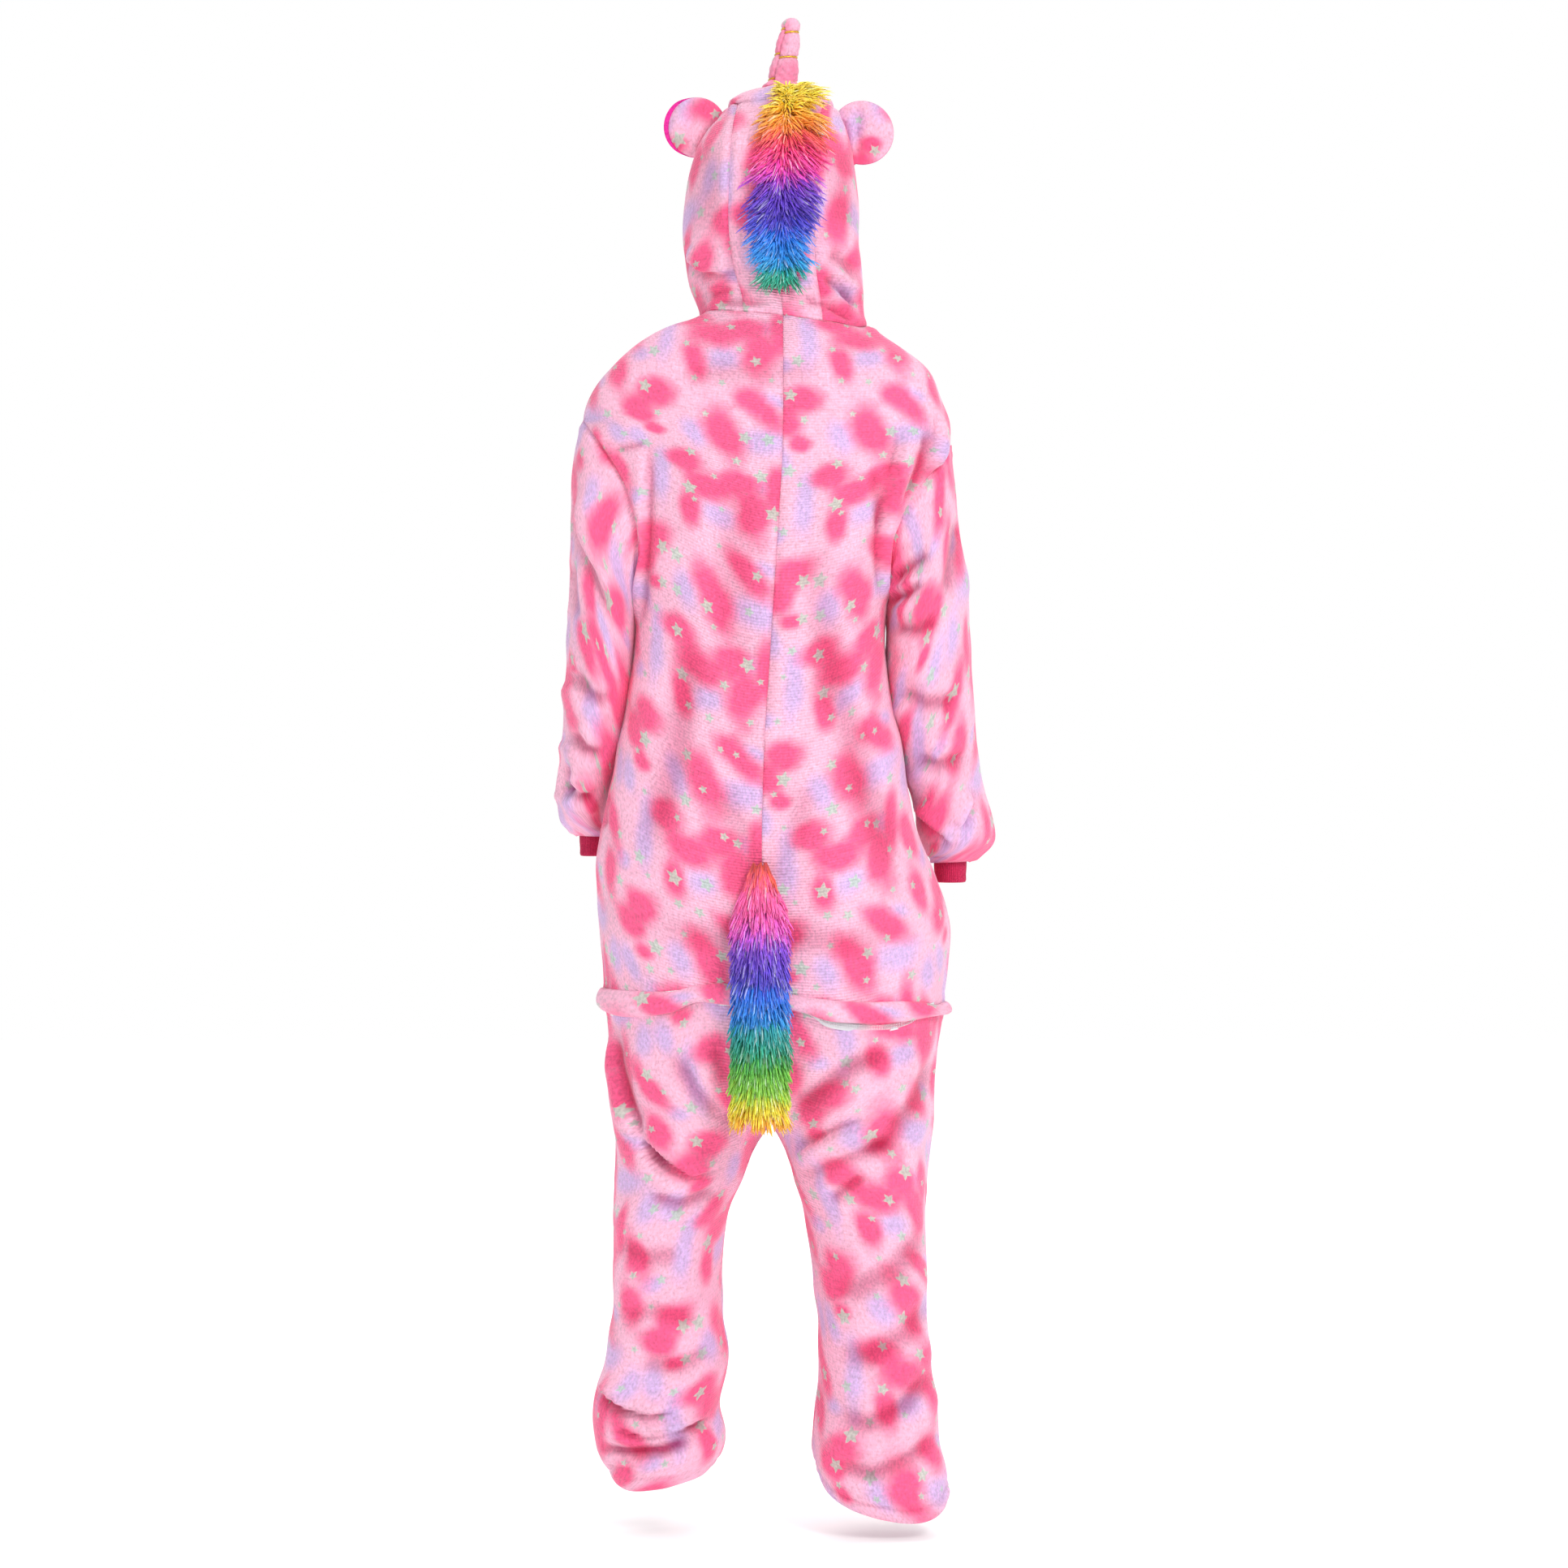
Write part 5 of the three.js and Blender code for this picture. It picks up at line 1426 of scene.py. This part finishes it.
def make_tail(fur):
    """Tufts that hang all round the tail's outer side, and a cord of yarn inside them, dyed darker as painted
    shade.
    """
    rng = np.random.default_rng(31)
    n = fur.tail_strands
    share = np.repeat(rng.uniform(0, 1, n // TAIL_TUFT + 1), TAIL_TUFT)[:n]
    z = np.clip(-621 - 274 * share**0.92 + rng.normal(0, 2.5, n), -894, -620)
    a = np.repeat(rng.uniform(-0.15, math.pi + 0.15, n // TAIL_TUFT + 1), TAIL_TUFT)[:n]
    a = a + rng.normal(0, 0.09, n)
    half, reach, clear = TAIL_PATH(z - 16)
    root = 0.5  # share of the way out at which a strand is rooted
    roots = np.stack(
        [TAIL_X + root * half * np.cos(a), -TAIL_BACK - clear - root * reach * np.abs(np.sin(a)), z], -1
    )
    out = unit(np.stack([np.cos(a) * half, -np.abs(np.sin(a)) * reach, 0 * a], -1))
    narrow = np.clip(half / 34, 0.2, 1)[:, None]
    down = np.array([0, 0, -1.0])
    ways = unit(out * rng.uniform(0.45, 1.15, (n, 1)) * narrow + down)
    bends = unit(out * rng.uniform(0.05, 0.42, (n, 1)) * narrow + down + 0.08 * rng.normal(size=(n, 3)))
    long = fur.length / MM * rng.uniform(0.62, 0.92, n) * np.clip((z + 960) / 66, 0.55, 1)
    obj = strands("tail", roots, ways, bends, long, fur.thickness / MM, TAIL_DYES, 32)
    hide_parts("tail")
    line_z = np.linspace(-630, -872, 40)
    half, reach, clear = TAIL_PATH(line_z)
    line = np.stack([TAIL_X + 0 * line_z, -TAIL_BACK - clear - 0.26 * reach, line_z], -1)
    points, faces = tube(line, np.minimum(half, reach) * 0.25, 16)
    obj = make_mesh("tail_core", points, faces, [MATERIALS["tinsel"]])
    # Painted shade: the core's colour is the tail's dye darkened to 0.6.
    dye_yarn(obj, ramp_color(np.array(points)[:, 2], TAIL_DYES) * 0.6)


# ---------- seat welt and zip ----------
# x and height of the zip's slack coil, which sags into view on the wearer's right.
ZIP_SLACK = through(
    [
        (-156, -778), (-90, -770), (-60, -776), (-20, -774), (24, -778), (44, -790), (56, -799), (76, -804),
        (104, -806.5), (132, -806), (152, -801), (163, -794), (180, -788),
    ]
)


def around_back(x):
    """The side and angle on the body's back at an x, near the zip."""
    middle, left, right, _, _ = BODY(np.full_like(x, ZIP_TOP))
    side = np.where(x < middle, -1, 1)
    half = np.where(side < 0, left, right)
    share = np.clip(np.abs(x - middle) / half, 0, 1)
    return side, -np.degrees(np.arccos(np.clip(share ** (SQUARENESS / 2), 0, 1)))


def on_back(x, z):
    side, angle = around_back(x)
    return np.where((side < 0)[..., None], body(LEFT, z, angle), body(RIGHT, z, angle))


def back_normal(x, z):
    p = on_back(x, z)
    dx = on_back(x + 1.5, z) - on_back(x - 1.5, z)
    dz = on_back(x, z + 2) - on_back(x, z - 2)
    n = np.cross(dx, dz)
    return p, n / np.linalg.norm(n, axis=-1, keepdims=True)


def coil_ring():
    """One turn of the zip's coil: its points in millimetres round the x axis, and its faces."""
    bpy.ops.object.select_all(action="DESELECT")
    bpy.ops.mesh.primitive_torus_add(
        major_radius=1.5 * MM,
        minor_radius=0.55 * MM,
        major_segments=9,
        minor_segments=5,
        rotation=(0, math.pi / 2, 0),
    )
    bpy.ops.object.transform_apply(location=False, rotation=True, scale=False)
    ring = bpy.context.object
    points = np.array([v.co[:] for v in ring.data.vertices]) / MM
    faces = [tuple(p.vertices) for p in ring.data.polygons]
    bpy.data.objects.remove(ring)
    return points, faces


def make_welt():
    """A rolled band of fleece: high where it hangs over the zip, thin where it is sewn at the top."""
    middle, left, right, _, _ = BODY(np.array([float(ZIP_TOP)]))
    angles = np.linspace(-176.5, -3.5, 150)
    way, half = np.where(angles > -90, 1, -1), np.where(angles > -90, right[0], left[0])
    x = middle[0] + way * half * power(np.abs(np.cos(np.radians(angles))), 2 / SQUARENESS)
    top, bottom, stand = WELT(x)
    around = 20
    c = np.linspace(0, 2 * np.pi, around, endpoint=False)
    share = (1 - np.cos(c)) / 2
    z = mix(top[:, None], bottom[:, None], share)
    out = np.sin(c) > 0
    roll = 1.5 + stand[:, None] * np.sin(c).clip(0) ** 0.7 * (0.55 + 0.45 * share)
    lift = np.where(out, roll, 0.8 + 2.0 * share)
    lift += 0.7 * np.sin(x / 17)[:, None] * out + 0.5 * np.sin(x / 7.3)[:, None] * out * share
    base, n = back_normal(x[:, None] + 0 * c, z)
    p = base + n * lift[..., None]
    faces = skin(len(x), around)
    obj = make_mesh("seat_flap", p.reshape(-1, 3), faces, [MATERIALS["fleece"]])
    face_out(obj)
    u = (x[:, None] + 300 + 0 * c).ravel()
    v = (share * 30 + 26 + 0 * x[:, None]).ravel()
    set_cut(obj.data, u, v)
    dye(obj.data, u, v)
    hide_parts("seat_flap")


COIL_STEP, COIL_ROWS, COIL_STAND = 1.9, 1.7, 2.4  # along the zip, from its middle, and off the body


def make_zip():
    """A white coil on its tape: it runs under the welt and sags below it on the wearer's right."""
    teeth_x = np.arange(-150, 176, COIL_STEP)
    base, n = back_normal(teeth_x, ZIP_SLACK(teeth_x)[0])
    ring, ring_faces = coil_ring()
    points, faces = [], []
    for foot, way in zip(base, n):
        along = unit(np.cross(way, (0, 0, 1.0)))
        turn = np.stack([along, way, np.cross(along, way)])
        for row in (-1, 1):
            faces += [tuple(len(points) * len(ring) + i for i in face) for face in ring_faces]
            points.append(foot + way * COIL_STAND + np.array([0, 0, COIL_ROWS * row]) + ring @ turn)
    obj = make_mesh("seat_zip_coil", np.concatenate(points), faces, [MATERIALS["zip"]])
    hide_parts("seat_zip_coil")

    strip_x = np.linspace(-156, 180, 170)
    level = ZIP_SLACK(strip_x)[0]
    section = [(1.2, -5.5), (1.2, 6.5), (2.0, 6.5), (2.0, -5.5)]  # off the body, and up from the coil
    base = [back_normal(strip_x, level + rise) for _, rise in section]
    p = np.stack([b + n * off for (b, n), (off, _) in zip(base, section)], 1)
    faces = skin(len(strip_x), len(section))
    obj = make_mesh("seat_zip_tape", p.reshape(-1, 3), faces, [MATERIALS["zip"]])
    face_out(obj)
    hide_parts("seat_zip_tape")


# ---------- cuffs ----------
# Middle x and y, top z, and half-widths.
CUFFS = {LEFT: (-217, 79, -594, 14.4, 30), RIGHT: (206.5, 74, -625, 18.7, 31)}


RIB = 0.55
# The cuff's section, down its outside and up its inside: height from the sleeve's end, and how far out.
CUFF_SECTION = [
    (7, 0.0), (2, 0.2), (-6, 0.0), (-14, -0.6), (-20, -0.4), (-22.4, -1.2), (-23, -2.4), (-22.2, -3.1),
    (-14, -3.2), (2, -3.0), (7, -2.9),
]


def make_cuffs():
    """Ribbed tubes of knit with a rolled lower edge."""
    around, ribs = 240, 48
    a = np.linspace(0, 2 * np.pi, around, endpoint=False)
    for side, word in SIDES:
        x, y, top, rx, ry = CUFFS[side]
        rings = []
        for height, out in CUFF_SECTION:
            rib = RIB * power(np.sin(a * ribs), 0.5) * (1 if out > -2 else 0.3)
            across = x + (rx + out + rib) * np.cos(a)
            rings.append(np.stack([across, y + (ry + out + rib) * np.sin(a), top + height + 0 * a], -1))
        index = np.arange(len(rings) * around).reshape(-1, around)
        right = np.roll(index, -1, axis=1)
        below, below_right = np.roll(index, -1, axis=0), np.roll(right, -1, axis=0)
        quads = np.stack([index, right, below_right, below], -1).reshape(-1, 4).tolist()
        obj = make_mesh(f"cuff_{word}", np.concatenate(rings), quads, [MATERIALS["cuff"]])
        face_out(obj)
        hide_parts(f"cuff_{word}")


# ---------- placket and buttons ----------
PLACKET_LENGTH, PLACKET_LIFT = 600, 4.4


def finish_node(name, material):
    """Gives a solid that is shown as it is the finish of the real one."""
    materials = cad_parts[name].data.materials
    materials.clear()
    materials.append(MATERIALS[material])


def make_placket(sizes):
    """The band down the front, and the finish of its buttons and of the seat zip's slider."""
    rows, t = ramp(PLACKET_LENGTH, 6), ramp(2 * PLACKET_HALF, 5)
    z = mix(-3, -640, rows)[:, None] + 0 * t
    x = mix(-PLACKET_HALF, PLACKET_HALF, t)
    _, left, right, _, _ = BODY(z)
    on_left, on_right = (
        body(side, z, np.degrees(np.arccos((np.abs(x) / half) ** (SQUARENESS / 2))))
        for side, half in ((LEFT, left), (RIGHT, right))
    )
    p = np.where((x < 0)[..., None], on_left, on_right) + np.array([0, PLACKET_LIFT, 0])
    obj = cloth("placket", p, body_axis(z), [], "tttt", sizes, flat=40)
    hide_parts("placket")
    for i in range(1, 7):
        finish_node(f"button_{i}", "button")
    finish_node("seat_zip_slider", "zip")


# ---------- stage ----------
# In metres, as lights and cameras are.
FLOOR_Z, FLOOR_HALF = -1.398, 8.0
LIGHTS = (  # name, place, the height it points at, its size, and its power in watts
    ("key", (2.0, -3.4, 1.6), -0.5, 1.3, 95),
    ("fill", (-2.8, -3.2, 0.4), -0.6, 2.2, 22),
    ("front", (0.6, 3.6, 1.8), -0.5, 2.0, 60),
)


def put(name, data, place, turn=(0, 0, 0)):
    """Adds an object to the scene."""
    obj = bpy.data.objects.new(name, data)
    obj.location = place
    obj.rotation_euler = turn
    bpy.context.scene.collection.objects.link(obj)
    return obj


def make_stage(look):
    w = FLOOR_HALF
    mesh = bpy.data.meshes.new("studio_floor")
    corners = [(x, y, FLOOR_Z) for x, y in ((-w, -w), (w, -w), (w, w), (-w, w))]
    mesh.from_pydata(corners, [], [(0, 1, 2, 3)])
    mesh.materials.append(floor_material(look.floor))
    put("studio_floor", mesh, (0, 0, 0))
    world = bpy.data.worlds.new("studio")
    world.use_nodes = True
    tree = world.node_tree
    tree.nodes.clear()
    # White to look at, and a dimmer, even light on the cloth.
    seen = add(tree, "ShaderNodeLightPath").outputs["Is Camera Ray"]
    dim = add(tree, "ShaderNodeBackground", {"Color": (1, 1, 1, 1), "Strength": 0.46})
    white = add(tree, "ShaderNodeBackground", {"Color": (1, 1, 1, 1), "Strength": 1.0})
    both = add(tree, "ShaderNodeMixShader", {0: seen, 1: dim, 2: white})
    add(tree, "ShaderNodeOutputWorld", {0: both})
    bpy.context.scene.world = world
    bpy.context.scene.view_settings.view_transform = "Standard"
    for name, place, aim_z, size, watts in LIGHTS:
        light = bpy.data.lights.new(name, "AREA")
        light.size = size
        light.energy = watts
        aim = Vector((0, 0, aim_z)) - Vector(place)
        put(name, light, place, aim.to_track_quat("-Z", "Y").to_euler())
    sun = bpy.data.lights.new("sky", "SUN")
    sun.energy = 1.4
    sun.angle = math.radians(80)
    put("sky", sun, (0, 0, 3))
    camera = bpy.data.cameras.new("camera")
    camera.lens = 83
    camera.sensor_width = 36
    level = (math.pi / 2, 0, 0)
    bpy.context.scene.camera = put("camera", camera, (0.010, -4.2, -0.532), level)


# ---------- operators ----------
class ONESIE_OT_Materials(bpy.types.Operator):
    """Makes the cloths, yarns and trims"""

    bl_idname = "onesie.materials"
    bl_label = "Materials"

    def execute(self, context):
        make_materials(context.scene.onesie_look)
        return {"FINISHED"}


class ONESIE_OT_Body(bpy.types.Operator):
    """Makes the backs, fronts, seat and legs"""

    bl_idname = "onesie.body"
    bl_label = "Body and legs"

    def execute(self, context):
        make_body(context.scene.onesie_sizes)
        return {"FINISHED"}


class ONESIE_OT_Sleeves(bpy.types.Operator):
    """Makes the sleeves"""

    bl_idname = "onesie.sleeves"
    bl_label = "Sleeves"

    def execute(self, context):
        make_sleeves(context.scene.onesie_sizes)
        return {"FINISHED"}


class ONESIE_OT_Cuffs(bpy.types.Operator):
    """Makes the ribbed cuffs"""

    bl_idname = "onesie.cuffs"
    bl_label = "Cuffs"

    def execute(self, context):
        make_cuffs()
        return {"FINISHED"}


class ONESIE_OT_Hood(bpy.types.Operator):
    """Makes the hood's side panels and middle strip"""

    bl_idname = "onesie.hood"
    bl_label = "Hood"

    def execute(self, context):
        make_hood(context.scene.onesie_sizes)
        return {"FINISHED"}


class ONESIE_OT_Ears(bpy.types.Operator):
    """Makes the ears and their lining"""

    bl_idname = "onesie.ears"
    bl_label = "Ears"

    def execute(self, context):
        make_ears()
        return {"FINISHED"}


class ONESIE_OT_Horn(bpy.types.Operator):
    """Makes the stuffed horn and its wound thread"""

    bl_idname = "onesie.horn"
    bl_label = "Horn"

    def execute(self, context):
        make_horn(context.scene.onesie_sizes)
        return {"FINISHED"}


class ONESIE_OT_Fur(bpy.types.Operator):
    """Makes the tinsel mane and tail"""

    bl_idname = "onesie.fur"
    bl_label = "Mane and tail"

    def execute(self, context):
        make_mane(context.scene.onesie_fur)
        make_tail(context.scene.onesie_fur)
        return {"FINISHED"}


class ONESIE_OT_SeatOpening(bpy.types.Operator):
    """Makes the seat welt and its zip"""

    bl_idname = "onesie.seat_opening"
    bl_label = "Seat opening"

    def execute(self, context):
        make_welt()
        make_zip()
        return {"FINISHED"}


class ONESIE_OT_Placket(bpy.types.Operator):
    """Makes the front placket and finishes its buttons"""

    bl_idname = "onesie.placket"
    bl_label = "Placket"

    def execute(self, context):
        make_placket(context.scene.onesie_sizes)
        return {"FINISHED"}


class ONESIE_OT_Stage(bpy.types.Operator):
    """Makes the floor, lights and camera"""

    bl_idname = "onesie.stage"
    bl_label = "Stage"

    def execute(self, context):
        make_stage(context.scene.onesie_look)
        return {"FINISHED"}


OPERATORS = (
    ONESIE_OT_Materials, ONESIE_OT_Body, ONESIE_OT_Sleeves, ONESIE_OT_Cuffs, ONESIE_OT_Hood, ONESIE_OT_Ears,
    ONESIE_OT_Horn, ONESIE_OT_Fur, ONESIE_OT_SeatOpening, ONESIE_OT_Placket, ONESIE_OT_Stage,
)


class ONESIE_PT_Panel(bpy.types.Panel):
    """Lists the onesie's pieces, sizes and colours"""

    bl_idname = "ONESIE_PT_Panel"
    bl_label = "Onesie"
    bl_space_type = "VIEW_3D"
    bl_region_type = "UI"
    bl_category = "Onesie"

    def draw(self, context):
        scene = context.scene
        for group in (scene.onesie_sizes, scene.onesie_fur, scene.onesie_look):
            box = self.layout.box()
            for name in group.__annotations__:
                box.prop(group, name)
        for operator in OPERATORS:
            self.layout.operator(operator.bl_idname)


CLASSES = (ONESIE_PG_Sizes, ONESIE_PG_Look, ONESIE_PG_Fur, *OPERATORS, ONESIE_PT_Panel)


def register():
    for cls in CLASSES:
        bpy.utils.register_class(cls)
    bpy.types.Scene.onesie_sizes = PointerProperty(type=ONESIE_PG_Sizes)
    bpy.types.Scene.onesie_look = PointerProperty(type=ONESIE_PG_Look)
    bpy.types.Scene.onesie_fur = PointerProperty(type=ONESIE_PG_Fur)


def unregister():
    for name in ("onesie_sizes", "onesie_look", "onesie_fur"):
        delattr(bpy.types.Scene, name)
    for cls in reversed(CLASSES):
        bpy.utils.unregister_class(cls)


def main():
    register()
    for operator in OPERATORS:
        group, name = operator.bl_idname.split(".")
        getattr(getattr(bpy.ops, group), name)()


if __name__ == "__main__":
    main()
